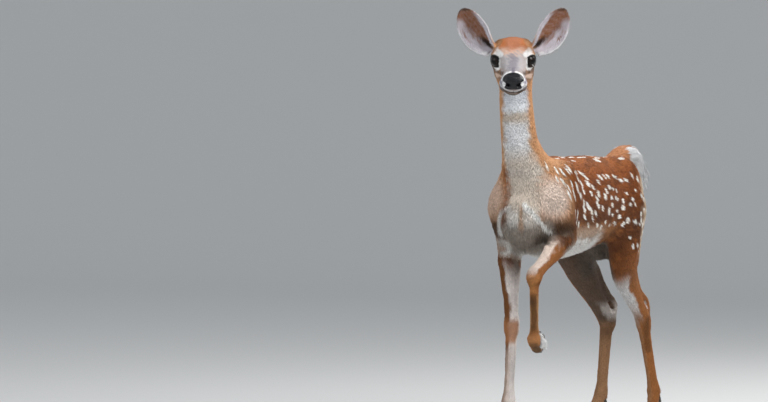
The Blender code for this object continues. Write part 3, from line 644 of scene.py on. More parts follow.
LID_BULGE = 0.0022
for side in (1, -1):
    far, heading, share = round_the_eye(points, side)
    outside = np.maximum(far, EYE_RADIUS + LID_BULGE * (1 - ramp(share, 1.3, 1.9)))
    wanted = np.where(share < 1.04, EYE_RADIUS * 0.84, outside)
    wanted = np.where((share > 2.0) | (far >= EYE_RADIUS * 1.55), far, wanted)
    points = eye_places[side] + heading * wanted[:, None]
put_points(skin.data, points)
print("sockets pressed behind the eyeballs")


# %% Eyeballs
CORNEA_RISE, CORNEA_EDGE = 0.035, 0.72  # share of the radius, and angle from the gaze
eye_finish, eye_shader = new_material("dark_eye")
lid_finish, lid_shader = new_material("lid_margin")
eyeballs, lids = [], []
for side, name in SIDES:
    gaze, inner, upright = eye_axes(side)
    frame_of_eye = Matrix((inner, upright, gaze)).transposed().to_4x4()
    ball = bmesh.new()
    bmesh.ops.create_uvsphere(ball, u_segments=48, v_segments=32, radius=EYE_RADIUS)
    in_eye = ball.verts.layers.float_vector.new("in_eye")
    for vert in ball.verts:
        tilt = vert.co.angle(Vector((0, 0, 1)))
        vert.co *= 1 + CORNEA_RISE * max(1 - (tilt / CORNEA_EDGE) ** 2, 0)
        vert[in_eye] = vert.co / EYE_RADIUS
    to_socket = Matrix.Translation(Vector(eye_places[side])) @ frame_of_eye
    bmesh.ops.transform(ball, matrix=to_socket, verts=ball.verts)
    bmesh.ops.recalc_face_normals(ball, faces=ball.faces)
    eyeball = new_piece("eyeball_" + name, ball, eye_finish)
    eyeball.data.shade_smooth()
    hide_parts("eye_" + name)
    eyeballs.append(eyeball)
print("eyeballs", len(eyeballs))

# %% Lids
LID_ROWS = ((0.975, 0.9990), (0.965, 1.022), (0.985, 1.062), (1.04, 1.105), (1.14, 1.135), (1.26, 1.140),
            (1.36, 1.115), (1.30, 1.02), (1.12, 0.975))  # share of the opening, share of the radius
LID_SIDES = 64


def lid_row(side, share, reach):
    """Places round the eye at a share of the opening; the upper lid is thicker than the lower one."""
    gaze, inner, upright = eye_axes(side)
    turns = np.linspace(0, 2 * np.pi, LID_SIDES, endpoint=False)
    angles = opening_angle(turns) * share
    out = inner * np.cos(turns)[:, None] + upright * np.sin(turns)[:, None]
    ways = gaze * np.cos(angles)[:, None] + out * np.sin(angles)[:, None]
    upper = 0.5 + 0.5 * np.sin(turns)
    return eye_places[side] + ways * (EYE_RADIUS * (1 + (reach - 1) * (0.85 + 0.45 * upper)))[:, None]


def turn_round(side, vert):
    """How far round the eye a point lies, from 0 towards the nose."""
    gaze, inner, upright = eye_axes(side)
    offset = np.array(vert.co) - eye_places[side]
    return math.atan2(offset @ upright, offset @ inner) % (2 * math.pi)


for side, name in SIDES:
    ring = bmesh.new()
    loop = bmesh.ops.create_circle(ring, segments=LID_SIDES, radius=1)["verts"]
    for row, (share, reach) in enumerate(LID_ROWS):
        if row:
            edges = [e for e in ring.edges if e.verts[0] in loop and e.verts[1] in loop]
            grown = verts_in(bmesh.ops.extrude_edge_only(ring, edges=edges)["geom"])
            loop = sorted(grown, key=lambda vert: turn_round(side, vert))
        for vert, place in zip(loop, lid_row(side, share, reach)):
            vert.co = place
    bmesh.ops.bridge_loops(ring, edges=[e for e in ring.edges if e.is_boundary])
    bmesh.ops.recalc_face_normals(ring, faces=ring.faces)
    lid = new_piece("lids_" + name, ring, lid_finish)
    lid.data.shade_smooth()
    lids.append(lid)
print("lids", [len(lid.data.polygons) for lid in lids])

# %% [markdown]
# ## Skin under the coat
# Hair takes up some depth, so the sculpted skin is drawn in by the coat's depth at each place: about two
# millimetres on the body, under one on the face and the legs. The lanes know that depth.

# %% Draw the skin in
shares = lane_shares(points)
depth = lane_values(shares, "depth")
left, forward, up = head_measures(points)
bare = np.maximum(ramp(forward, 0.086, 0.096), near_eyes(points, 0.019) * 1.0) * part_share(shares, "head")
depth = depth * (1 - bare) + 0.0004 * bare  # nose, lips and the rims of the eyes hardly have any hair
depth = depth * (1 - 0.3 * part_share(shares, "trunk", "belly", "chest", "rump"))
depth = depth * (1 - 0.4 * part_share(shares, *LEGS))
points = points - point_normals(skin.data) * depth[:, None]
points[:, 2] = np.maximum(points[:, 2], 0.0015)
put_points(skin.data, points)
skin.data.shade_smooth()
normals = point_normals(skin.data)
print("mean depth", round(float(depth.mean()) * 1000, 2), "mm")


# %% [markdown]
# ## Nose leather, hooves and dewclaws
# The pad of the nose is bare, black and slightly swollen, with a rounded top and a notch in each side.
# It is copied from the skin's own faces and thickened into a closed shell, so that it fits exactly. The
# hooves and dewclaws keep the measured shapes, welded and given soft edges, as horn has no sharp corners.

# %% Nose leather
PAD_DROP, PAD_HALF_HEIGHT, PAD_HALF_WIDTH = 0.0450, 0.0178, 0.0228  # the drop is from the eye line
NOTCH_DROP = 0.0512  # of the white notch in each side of the pad


def pad_share(points):
    """Above 1 outside the pad of the nose and below 1 inside; it is squarer below than above."""
    left, forward, up = head_measures(points)
    rise = points[:, 2] - head_middle[2]
    tall = (rise + PAD_DROP) / PAD_HALF_HEIGHT
    half = PAD_HALF_WIDTH * (1 - 0.10 * np.clip(-tall, 0, 1))
    power = 2.0 + 2.0 * ramp(-tall, 0.0, 0.6)
    notch = np.exp(-(((np.abs(left) - 0.0198) / 0.0046) ** 2) - ((rise + NOTCH_DROP) / 0.0044) ** 2)
    share = (np.abs(left / half) ** power + np.abs(tall) ** power) ** (1 / power)
    return np.where(forward > 0.080, share + 0.55 * notch, 9.0)


PAD_SWELL = 0.0005
nose_finish, nose_shader = new_material("nose_leather")
pad = bmesh.new()
pad.from_mesh(skin.data)
inside = pad_share(points)
bmesh.ops.delete(pad, geom=[v for v in pad.verts if inside[v.index] > 1.0], context="VERTS")
pad.normal_update()
for turn in range(2):
    rim = [v for v in pad.verts if v.is_boundary]
    bmesh.ops.smooth_vert(pad, verts=rim, factor=0.5, use_axis_x=True, use_axis_y=True, use_axis_z=True)
swell = bmesh.ops.extrude_face_region(pad, geom=list(pad.faces), use_keep_orig=True)
for vert in verts_in(swell["geom"]):
    vert.co += vert.normal * PAD_SWELL
bmesh.ops.recalc_face_normals(pad, faces=pad.faces)
nose = new_piece("nose_pad", pad, nose_finish)
nose.data.shade_smooth()
print("nose pad", len(nose.data.polygons), "faces")

# %% Hooves and dewclaws
HORN_EDGE = 0.0011
horn_finish, horn_shader = new_material("hoof_horn")
horn_pieces = []
for name in sorted(nodes):
    if "hoof" in name or "dewclaw" in name:
        claw = bmesh.new()
        claw.from_mesh(nodes[name].data)
        bmesh.ops.remove_doubles(claw, verts=claw.verts, dist=1e-5)
        bmesh.ops.dissolve_limit(claw, angle_limit=0.05, verts=claw.verts, edges=claw.edges)
        claw.normal_update()
        corners = [e for e in claw.edges if e.is_manifold and e.calc_face_angle() > 0.5]
        bmesh.ops.bevel(claw, geom=corners, offset=HORN_EDGE, segments=3, profile=0.5, affect="EDGES",
                        material=-1, clamp_overlap=True)
        piece = new_piece(name + "_horn", claw, horn_finish)
        piece.data.shade_smooth()
        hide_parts(name)
        horn_pieces.append(piece)
print("horn pieces", len(horn_pieces))

# %% [markdown]
# ## Markings
# A fawn is rufous above and white below. White spots run in two rows beside the spine and are scattered
# over ribs and haunch, long where the coat stretches over the shoulder and round on the thigh. The throat,
# the chest, the rings round the eyes, the bands beside the nose and the insides of ears and legs are pale.
# Every marking is a soft-edged shape at a named place, and one function gives the colour of any point, so
# that the skin and each tuft of hair over it agree without any picture.
# Some of these shapes are painted shade: in the folds and pits of the chest and shoulders, in the groin, on
# the inner thighs and the inside of the right hind leg, under the chin, in the ears' hollows, behind the left
# hock and at the bent knee.

# %% Tools for markings
def mix(colour, other, share):
    """Goes from one colour to another, point by point."""
    return colour + (np.asarray(other) - colour) * np.asarray(share)[..., None]


def wander(points, size, seed=0):
    """An even, wavy value between about -1 and 1 that changes over the given size."""
    waves = np.random.default_rng(seed)
    total = np.zeros(len(points))
    for turn in range(7):
        way = unit(waves.normal(size=3)) * (2 * np.pi / size) * waves.uniform(0.6, 1.7)
        total += np.sin(points @ way + waves.uniform(0, 6.3))
    return total / 3.2


def blot(points, place, reach, edge=0.35):
    """1 inside an egg shape and 0 outside it, with a soft edge."""
    gap = np.sqrt((((points - np.array(place)) / np.array(reach)) ** 2).sum(1))
    return 1 - ramp(gap, 1 - edge, 1 + edge)


def in_band(values, low, high, edge=0.008):
    """1 between two values and 0 outside them."""
    return ramp(values, low - edge, low + edge) * (1 - ramp(values, high - edge, high + edge))


def stripe(points, start, end, reach, edge=0.4):
    """1 near a straight line and 0 away from it."""
    start, end = np.array(start), np.array(end)
    run = end - start
    along = np.clip(((points - start) @ run) / (run @ run), 0, 1)
    gap = np.linalg.norm(points - start - along[:, None] * run, axis=1) / reach
    return 1 - ramp(gap, 1 - edge, 1 + edge)


BACK_COAT, FLANK_COAT, SPINE_COAT = tone(140, 76, 32), tone(98, 57, 31), tone(74, 42, 24)
ORANGE_COAT, TAN_COAT = tone(172, 104, 52), tone(178, 124, 80)
BELLY_COAT, SPOT_COAT = tone(232, 230, 226), tone(250, 244, 234)
# The last of these is painted shade for the folds and pits round the chest and shoulders.
CHEST_COAT, SHOULDER_COAT, CREASE_SHADE_COAT = tone(204, 190, 175), tone(232, 212, 198), tone(66, 48, 34)
# Painted shade under the chest, and painted shade for the groin and the inner thighs.
CHEST_SHADE, GROIN_SHADE_COAT = tone(150, 140, 130), tone(94, 82, 72)
NECK_SIDE, NECK_BACK, THROAT_COAT = tone(197, 146, 104), tone(150, 86, 42), tone(226, 228, 232)
LEG_COAT, LEG_PALE, LEG_DARK = tone(162, 104, 58), tone(236, 226, 220), tone(84, 56, 34)
BUTTOCK_COAT, TAIL_TOP, TAIL_WHITE = tone(228, 204, 176), tone(184, 126, 86), tone(248, 250, 254)
CROWN_COAT, CROWN_EDGE, BROW_TAN = tone(190, 122, 86), tone(200, 120, 66), tone(226, 192, 172)
FACE_WHITE, FACE_BROWN, CHEEK_COAT = tone(242, 240, 238), tone(88, 66, 52), tone(150, 118, 96)
BRIDGE_GREY, EAR_BROWN, EAR_PALE = tone(142, 136, 146), tone(146, 92, 56), tone(212, 206, 214)
# The first of these is painted shade for the hollow inside each ear.
EAR_HOLLOW_SHADE, EAR_BACK, EAR_STALK = tone(30, 20, 18), tone(128, 98, 76), tone(186, 136, 96)
KEEL_X = 0.0175  # of the chest's middle line
FRONT = np.array((0.18, -0.98, 0.0))  # the way the chest faces
print("colours ready")


# %% Back, flanks and belly
def upper_coat(points, normals):
    """Rufous brown, darker along the spine, more orange in patches and lower down."""
    x, y, z = points.T
    colour = mix(FLANK_COAT, BACK_COAT, ramp(z + 0.006 * wander(points, 0.05, 3), 0.43, 0.565))
    spine = (1 - ramp(np.abs(x - spine_x(y)), 0.004, 0.018)) * ramp(normals[:, 2], 0.6, 0.95)
    colour = mix(colour, SPINE_COAT, 0.75 * spine)
    colour = mix(colour, ORANGE_COAT, 0.35 * ramp(wander(points, 0.022, 25), 0.2, 1.0))
    colour = mix(colour, ORANGE_COAT, 0.45 * ramp(z + 0.005 * wander(points, 0.04, 27), 0.545, 0.575))
    low_flank = in_band(z + 0.004 * wander(points, 0.03, 28), 0.405, 0.446, 0.012)
    low_flank = low_flank * (1 - ramp(y, 0.06, 0.11)) * ramp(y, -0.17, -0.12)
    colour = mix(colour, TAN_COAT, 0.75 * low_flank)
    low_thigh = ramp(y, 0.10, 0.15) * (1 - ramp(z + 0.010 * wander(points, 0.03, 29), 0.385, 0.425))
    colour = mix(colour, ORANGE_COAT, 0.55 * low_thigh)
    return mix(colour, SPINE_COAT, 0.36 * ramp(wander(points, 0.045, 8), 0.1, 0.9))


def add_underside(colour, points, normals):
    """The white belly, with a greyer edge under the ribs."""
    x, y, z = points.T
    low = ramp(-normals[:, 2] + 0.10 * wander(points, 0.02, 4), 0.26, 0.58)
    low = low * (1 - ramp(z + 0.006 * wander(points, 0.03, 17), 0.408, 0.436))
    low = low * (1 - ramp(y, 0.010, 0.055) * ramp(np.abs(x - spine_x(y)), 0.020, 0.045))
    colour = mix(colour, BELLY_COAT, low)
    grey_edge = ramp(-normals[:, 2], 0.05, 0.25) * (1 - ramp(z, 0.43, 0.45)) * (1 - low)
    return mix(colour, CHEST_COAT, 0.5 * grey_edge * ramp(-y, -0.06, 0.0))


# %% Shoulders and chest
def add_shoulders(colour, points):
    """Pale shoulders, with painted shade in the fold where each upper arm meets the chest."""
    for side in (1, -1):
        at = 0.0065 + side * 0.066
        colour = mix(colour, NECK_SIDE, 0.75 * blot(points, (at, -0.189, 0.515), (0.046, 0.052, 0.075)))
        pale = blot(points, (at, -0.202, 0.508), (0.034, 0.036, 0.042), 0.5)
        colour = mix(colour, SHOULDER_COAT, (0.7 + 0.2 * side) * pale)
        # Painted shade in the fold under each shoulder.
        fold = blot(points, (at + side * 0.004, -0.190, 0.443), (0.034, 0.046, 0.022), 0.5)
        colour = mix(colour, CREASE_SHADE_COAT, 0.85 * fold)
    return colour


def add_chest(colour, points, normals):
    """The grey and white chest, with painted shade below and in the pit under the raised leg, and a parting
    down the keel.
    """
    x, y, z = points.T
    ahead = dots(normals, FRONT)
    keel = np.abs(x - KEEL_X)
    centre = 1 - ramp(keel + 0.004 * wander(points, 0.02, 9), 0.022 + 0.010 * ramp(z, 0.54, 0.60), 0.044)
    chest = ramp(ahead + 0.06 * wander(points, 0.03, 5), 0.25, 0.60) * ramp(-y, 0.13, 0.18) * centre
    colour = mix(colour, mix(CHEST_COAT, THROAT_COAT, 0.35 * ramp(z, 0.53, 0.60)), chest)
    brisket = ramp(ahead + 0.4 * ramp(-normals[:, 2], 0.1, 0.6), 0.1, 0.5) * ramp(-y, 0.12, 0.17)
    # Painted shade over the lower brisket.
    shade = (1 - ramp(z + 0.005 * wander(points, 0.03, 15), 0.446, 0.470)) * (1 - ramp(keel, 0.050, 0.066))
    colour = mix(colour, CHEST_SHADE, brisket * shade)
    white = ramp(keel, 0.003, 0.010) * (1 - ramp(keel, 0.026, 0.040))
    white = white * ramp(z, 0.440, 0.462) * (1 - ramp(z, 0.474, 0.494))
    colour = mix(colour, BELLY_COAT, (0.35 + 0.25 * (x < KEEL_X)) * white * brisket)
    # Painted shade in the pit under the raised left leg.
    left_armpit_shade = blot(points, (0.054, -0.206, 0.417), (0.022, 0.030, 0.022), 0.5)
    colour = mix(colour, CREASE_SHADE_COAT, 0.7 * left_armpit_shade * brisket)
    # A parting of the hair down the keel, tan, darkened in part with the painted crease shade.
    parting = 1 - ramp(keel + 0.002 * wander(points, 0.02, 16), 0.001, 0.006)
    parting = parting * ramp(z, 0.43, 0.46) * (1 - ramp(z, 0.485, 0.505))
    colour = mix(colour, mix(NECK_SIDE, CREASE_SHADE_COAT, 0.35), 0.6 * parting * brisket)
    # Painted shade low on the chest between the forelegs.
    low_shade = (1 - ramp(z, 0.385, 0.425)) * (1 - ramp(keel, 0.045, 0.06))
    return mix(colour, CREASE_SHADE_COAT, 0.35 * brisket * low_shade)


def add_arm_folds(colour, points):
    """White hair along the crease between chest and upper arm, on both sides."""
    left_fold = np.maximum(
        stripe(points, (0.022, -0.237, 0.497), (0.048, -0.223, 0.463), 0.0060),
        stripe(points, (0.048, -0.223, 0.463), (0.068, -0.204, 0.436), 0.0050),
    )
    right_fold = np.maximum(
        0.6 * stripe(points, (-0.008, -0.237, 0.490), (-0.032, -0.227, 0.480), 0.0050, 0.7),
        stripe(points, (-0.036, -0.225, 0.474), (-0.056, -0.195, 0.430), 0.0070, 0.6),
    )
    return mix(colour, BELLY_COAT, np.maximum(left_fold, 0.85 * right_fold))


# %% Groin, thighs and buttocks
def add_rear(colour, points, normals):
    """Painted shade in the groin and on the inner thigh, and the pale buttocks with their soft edge."""
    x, y, z = points.T
    aside = x - spine_x(y)
    # Painted shade in the groin, paler where it faces backwards.
    groin = ramp(y, 0.075, 0.100) * (1 - ramp(np.abs(aside), 0.036, 0.052)) * (1 - ramp(z, 0.415, 0.435))
    colour = mix(colour, mix(GROIN_SHADE_COAT, BUTTOCK_COAT, ramp(normals[:, 1], 0.0, 0.5)), 0.97 * groin)
    # Painted shade on the inside of the right thigh.
    thigh = ramp(-aside, 0.004, 0.016) * ramp(y, 0.070, 0.105) * (1 - ramp(z, 0.420, 0.445))
    colour = mix(colour, GROIN_SHADE_COAT, 0.85 * thigh * ramp(normals[:, 0] - normals[:, 1], -0.3, 0.3))
    outward = np.abs(normals[:, 0]) * 0.70 + normals[:, 1] * 0.71
    rear_edge = ramp(outward + 0.06 * wander(points, 0.02, 26), 0.68, 0.86) * ramp(y, 0.165, 0.205)
    rear_edge = rear_edge * ramp(z, 0.36, 0.40) * (1 - ramp(z, 0.535, 0.560))
    colour = mix(colour, BUTTOCK_COAT, 0.80 * rear_edge)
    behind = ramp(normals[:, 1], 0.35, 0.75) * ramp(y, 0.221, 0.241) * ramp(z, 0.36, 0.43)
    return mix(colour, BUTTOCK_COAT, behind)


def body_colour(points, normals):
    colour = add_underside(upper_coat(points, normals), points, normals)
    colour = add_chest(add_shoulders(colour, points), points, normals)
    return add_rear(add_arm_folds(colour, points), points, normals)


# %% Neck and tail
def neck_colour(points, normals):
    """Brown behind and pale in front, with a white throat, painted shade just under the chin and a paler patch
    above the chest.
    """
    z = points[:, 2]
    turn = ramp(z, 0.58, 0.76)[:, None]
    ahead = dots(normals, unit(np.array((0.20, -0.95, 0.0)) + turn * np.array((0.24, 0.04, 0.0))))
    ahead = ahead + 0.08 * wander(points, 0.025, 12)
    colour = mix(NECK_BACK, NECK_SIDE, ramp(ahead, -0.55, 0.15))
    front = mix(tone(194, 180, 166), THROAT_COAT, ramp(z + 0.006 * wander(points, 0.02, 13), 0.678, 0.696))
    # Painted shade on the throat just under the chin.
    front = mix(front, tone(160, 166, 178), 0.6 * ramp(z, 0.698, 0.730))
    front = mix(CHEST_COAT, front, ramp(z, 0.60, 0.66))
    low_patch = ramp(z, 0.570, 0.630) * (1 - ramp(z, 0.656, 0.676)) * ramp(ahead, 0.50, 0.90)
    front = mix(front, THROAT_COAT, 0.85 * low_patch)
    return mix(colour, front, ramp(ahead, 0.42, 0.80))


def tail_colour(points, normals):
    """White, with a tan crest along the top near the root."""
    x, y, z = points.T
    over = np.array((tail_x, tail_low[1] + 0.020, tail_high[2] - 0.055))
    outward = dots(normals, unit((points - over) * (0, 1, 1)))
    back = y + 0.3 * (0.57 - z) + 0.004 * wander(points, 0.012, 18)
    past = ramp(back, tail_high[1] - 0.056, tail_high[1] - 0.038)
    crest = 1 - ramp(np.abs(x - tail_x), 0.008, 0.017)
    top = ramp(outward + 0.2 * wander(points, 0.01, 19), 0.40, 0.80) * crest * (1 - past)
    top = np.maximum(top, (1 - ramp(y, tail_low[1] - 0.030, tail_low[1] - 0.012)) * ramp(z, 0.55, 0.57))
    return mix(TAIL_WHITE, TAIL_TOP, top)


# %% Head
def crown_and_bridge(left, forward, up, rise, wave):
    """Grey bridge of the nose, tan brows and a rufous crown, over the cheeks' brown."""
    aside = np.abs(left)
    top = ramp(up + 0.2 * forward, -0.012, 0.004)
    colour = mix(CHEEK_COAT, tone(196, 190, 190), 0.85 * top * ramp(forward, 0.010, 0.026))
    bridge = top * (1 - ramp(aside + 2 * wave, 0.012, 0.024))
    colour = mix(colour, mix(BRIDGE_GREY, FACE_WHITE, 0.45), 0.6 * bridge)
    middle_grey = (1 - ramp(aside + 1.5 * wave, 0.003, 0.016)) * top
    colour = mix(colour, BRIDGE_GREY, 0.75 * middle_grey)
    colour = mix(colour, BROW_TAN, ramp(rise + 2 * wave, 0.002, 0.018) * (1 - ramp(aside, 0.020, 0.032)))
    crown = ramp(rise + wave - 0.10 * aside, 0.011, 0.027) * (1 - ramp(aside + wave, 0.036, 0.044))
    colour = mix(colour, mix(CROWN_COAT, CROWN_EDGE, ramp(aside, 0.010, 0.022)), crown)
    outer_crown = ramp(aside + wave, 0.026, 0.034) * ramp(rise, 0.008, 0.018)
    colour = mix(colour, tone(190, 138, 96), 0.6 * outer_crown)
    colour = mix(colour, NECK_BACK, ramp(-forward, 0.035, 0.055) * ramp(up, -0.01, 0.01))
    return mix(colour, THROAT_COAT, ramp(-up, 0.036, 0.050))


def add_face_sides(colour, points, own, wave):
    """Rings and brows of the eyes, and the stripes from the cheeks to the muzzle."""
    aside, forward, up = own.T
    temple = stripe(own, (0.044, 0.004, 0.002), (0.040, -0.020, -0.022), 0.014, 0.6)
    colour = mix(colour, FACE_BROWN, 0.8 * temple)
    for side in (1, -1):
        gap = np.linalg.norm(points - eye_places[side], axis=1)
        inner_side = ramp(forward + 0.25 * up, 0.000, 0.014)
        ring = (1 - ramp(gap + wave, 0.0195, 0.0250)) * inner_side
        colour = mix(colour, FACE_WHITE, ring)
        socket = (1 - ramp(gap + wave, 0.0185, 0.0235)) * (1 - inner_side)
        colour = mix(colour, tone(58, 46, 38), 0.9 * socket)
    brow = stripe(own, (0.0225, 0.026, 0.0165), (0.038, -0.012, 0.0215), 0.0052)
    colour = mix(colour, FACE_WHITE, 0.97 * brow)
    mottle = stripe(own, (0.0130, 0.082, -0.0005), (0.0235, 0.048, -0.0040), 0.0050, 0.7)
    colour = mix(colour, tone(176, 150, 138), 0.65 * mottle * ramp(wander(points, 0.007, 22), -0.6, 0.5))
    jaw = stripe(own, (0.0290, 0.050, -0.036), (0.0350, 0.000, -0.050), 0.0085, 0.5)
    colour = mix(colour, tone(92, 74, 58), 0.75 * jaw)
    cheek = stripe(own, (0.0240, 0.066, -0.0200), (0.0355, 0.004, -0.0340), 0.0050)
    colour = mix(colour, tone(228, 200, 182), 0.90 * cheek)
    mark = stripe(own, (0.0175, 0.074, -0.0055), (0.0345, 0.020, -0.0215), 0.0048, 0.55)
    broken = ramp(wander(points, 0.009, 24), -0.9, 0.1)
    return mix(colour, tone(84, 64, 48), (0.35 + 0.55 * broken) * mark)


def add_muzzle(colour, points, own, left, rise):
    """Grey sides of the muzzle, the white ring and notches of the nose, lips, mouth, and painted shade on the
    chin.
    """
    aside, forward, up = own.T
    top = ramp(up + 0.2 * forward, -0.012, 0.004)
    edge, above_mouth = pad_share(points), up - mouth_line(left)
    notch = np.exp(-(((aside - 0.0182) / 0.0036) ** 2) - ((rise + NOTCH_DROP) / 0.0048) ** 2)
    grey = ramp(forward, 0.066, 0.076) * (1 - ramp(rise, -0.042, -0.034)) * ramp(rise, -0.068, -0.058)
    colour = mix(colour, tone(150, 146, 160), 0.92 * grey)
    rim = (1 - ramp(edge, 1.07, 1.20)) * ramp(forward, 0.075, 0.085) * ramp(aside, 0.0010, 0.0042)
    colour = mix(colour, FACE_WHITE, 0.97 * rim * ramp(rise, -0.050, -0.041))
    parting = (1 - ramp(aside, 0.0015, 0.0050)) * top * ramp(forward, 0.07, 0.08)
    colour = mix(colour, BRIDGE_GREY, 0.9 * parting)
    lip = ramp(forward, 0.070, 0.080) * (1 - ramp(np.abs(above_mouth - 0.0035), 0.002, 0.005))
    colour = mix(colour, tone(208, 206, 206), 0.85 * lip)
    seam = (1 - ramp(np.abs(above_mouth), 0.0008, 0.0022)) * ramp(forward, 0.048, 0.056)
    colour = mix(colour, tone(60, 54, 48), 0.85 * seam * (1 - 0.6 * ramp(aside, 0.016, 0.026)))
    # Painted shade over the chin below the mouth.
    chin = ramp(forward, 0.070, 0.082) * (1 - ramp(above_mouth, -0.004, -0.001))
    colour = mix(colour, tone(98, 92, 78), 0.90 * chin)
    colour = mix(colour, tone(250, 250, 250), ramp(notch, 0.15, 0.45) * ramp(forward, 0.075, 0.085))
    return mix(colour, tone(24, 22, 24), (edge < 1.0) * 1.0)


def head_colour(points, normals):
    left, forward, up = head_measures(points)
    rise = points[:, 2] - head_middle[2]
    own = np.stack((np.abs(left), forward, up), 1)
    wave = 0.0022 * wander(points, 0.012, 21)
    colour = crown_and_bridge(left, forward, up, rise, wave)
    return add_muzzle(add_face_sides(colour, points, own, wave), points, own, left, rise)


# %% Ears
EAR_HALF = 0.0335  # half the ear's greatest width


def ear_frame(side):
    """The ear's root, length, long axis, opening direction and the direction of its lower edge."""
    root, tip = ear_ends(side)
    axis = unit(tip - root)
    opening = head_way(side * 0.22, 1.0, 0.0)
    opening = unit(opening - axis * dots(opening, axis))
    lower = np.cross(axis, opening)
    return root, np.linalg.norm(tip - root), axis, opening, lower * (-1 if lower[2] > 0 else 1)


def ear_sag(along):
    """How far the ear's middle hangs below its long axis."""
    along = np.clip(along, 0, 1)
    return 0.009 * np.sin(np.pi * along) * (1.7 - 1.5 * along)


def ear_half(along):
    """The ear's half width at a share of its length, against its widest."""
    stalk = 0.36 + 0.64 * np.sin(np.pi / 2 * np.clip(along / 0.5, 0, 1)) ** 1.2
    return stalk * np.maximum(1 - np.clip((along - 0.42) / 0.58, 0, 1) ** 2.6, 0.02) ** 0.62


def ear_places(points, side):
    """Shares of the ear's length and width, from its middle line, at each point."""
    root, length, axis, opening, lower = ear_frame(side)
    along = (points - root) @ axis / length
    return along, ((points - root) @ lower - ear_sag(along)) / EAR_HALF


def ear_cup(points, along, down, inside):
    """The inside of an ear: brown, with a pale field below, pale rims, a dark tip and painted shade in the
    hollow at its root.
    """
    across = down / ear_half(along)
    flat = np.stack((along, down, 0 * along), 1)
    wave = 0.08 * wander(points, 0.012, 31)
    fine = 0.5 + 0.5 * wander(points, 0.006, 32)
    cup = mix(np.tile(EAR_BROWN, (len(points), 1)), EAR_PALE, 0.22 * np.clip(fine, 0, 1))
    field = ramp(down + wave + 0.9 * (0.32 - along), -0.05, 0.35)
    below = ramp(down + wave, 0.56, 0.70) * ramp(along, 0.28, 0.42) * (1 - ramp(along, 0.76, 0.86))
    field = field * (1 - below) * (1 - 0.85 * blot(flat, (0.88, -0.05, 0), (0.13, 0.36, 1), 0.4))
    tip_patch = blot(flat, (0.74, 0.62, 0), (0.13, 0.30, 1), 0.6)
    cup = mix(cup, EAR_PALE, np.maximum(0.92 * field, 0.85 * tip_patch * inside))
    vein = np.abs(down - 0.26 - 0.35 * (along - 0.3) + 0.6 * wave)
    cup = mix(cup, EAR_BROWN, 0.55 * (1 - ramp(vein, 0.03, 0.10)) * in_band(along, 0.18, 0.50, 0.06))
    upper_rim = ramp(-across + 0.9 * (0.30 - along) * (along < 0.3), 0.60, 0.78)
    cup = mix(cup, EAR_PALE, 0.95 * upper_rim * (1 - ramp(along, 0.66, 0.88)))
    lower_rim = ramp(across, 0.80, 0.90) * (1 - ramp(along, 0.62, 0.80))
    cup = mix(cup, tone(250, 248, 252), lower_rim)
    cup = mix(cup, tone(84, 66, 56), 0.8 * ramp(along + 0.10 * np.clip(-across, 0, 1), 0.93, 1.0))
    # Painted shade in the hollow of the ear near its root.
    hollow_shade = (1 - ramp(along, 0.20, 0.44)) * (1 - ramp(np.abs(down + 0.22 - 0.5 * along), 0.10, 0.30))
    return mix(cup, EAR_HOLLOW_SHADE, 0.95 * hollow_shade)


def ear_colour(points, normals):
    """The cup inside, a brown back, white edges, a tan stalk and a dark tip."""
    left = head_measures(points)[0]
    colour = np.tile(EAR_BACK, (len(points), 1))
    for side in (1, -1):
        opening = ear_frame(side)[3]
        along, down = ear_places(points, side)
        here = side * left > 0
        inside = ramp(dots(normals, opening), 0.05, 0.35) * here
        colour = mix(colour, ear_cup(points, along, down, inside), inside)
        edge = 1 - ramp(np.abs(dots(normals, opening)), 0.25, 0.60)
        rim = edge * here * (1 - ramp(along, 0.55, 0.72) * ramp(down, -0.2, 0.2))
        colour = mix(colour, tone(246, 243, 245), rim * (1 - ramp(along, 0.80, 0.90)))
        stalk = here * (1 - ramp(along, 0.02, 0.12)) * (1 - ramp(down, -0.3, 0.1))
        colour = mix(colour, EAR_STALK, stalk)
        beyond = ramp(-down / ear_half(along), 0.94, 1.10) * (1 - ramp(along, 0.24, 0.34))
        colour = mix(colour, EAR_STALK, here * beyond)
        dark_tip = here * ramp(along, 0.93, 0.99) * np.maximum(edge, 1 - inside)
        colour = mix(colour, tone(70, 54, 46), 0.9 * dark_tip)
    return colour


# %% Legs
def right_fore_colour(points, normals, wave):
    """Pale inside, brown outside, with a tan knee and a pale line down the front of the cannon."""
    z = points[:, 2]
    inner = dots(normals, unit((0.95, -0.30, 0.0))) + wave - 0.35 * in_band(z, 0.255, 0.300, 0.02)
    colour = mix(mix(LEG_COAT, LEG_DARK, 0.5), LEG_PALE, ramp(inner, 0.02, 0.40))
    knee = in_band(z, 0.198, 0.247) * ramp(-normals[:, 1], -0.2, 0.3)
    colour = mix(colour, tone(188, 128, 84), 0.85 * knee)
    front = ramp(dots(normals, unit((-0.2, -1, 0))), 0.6, 0.95) * (1 - ramp(z, 0.17, 0.20))
    return mix(colour, tone(224, 204, 190), 0.6 * front)


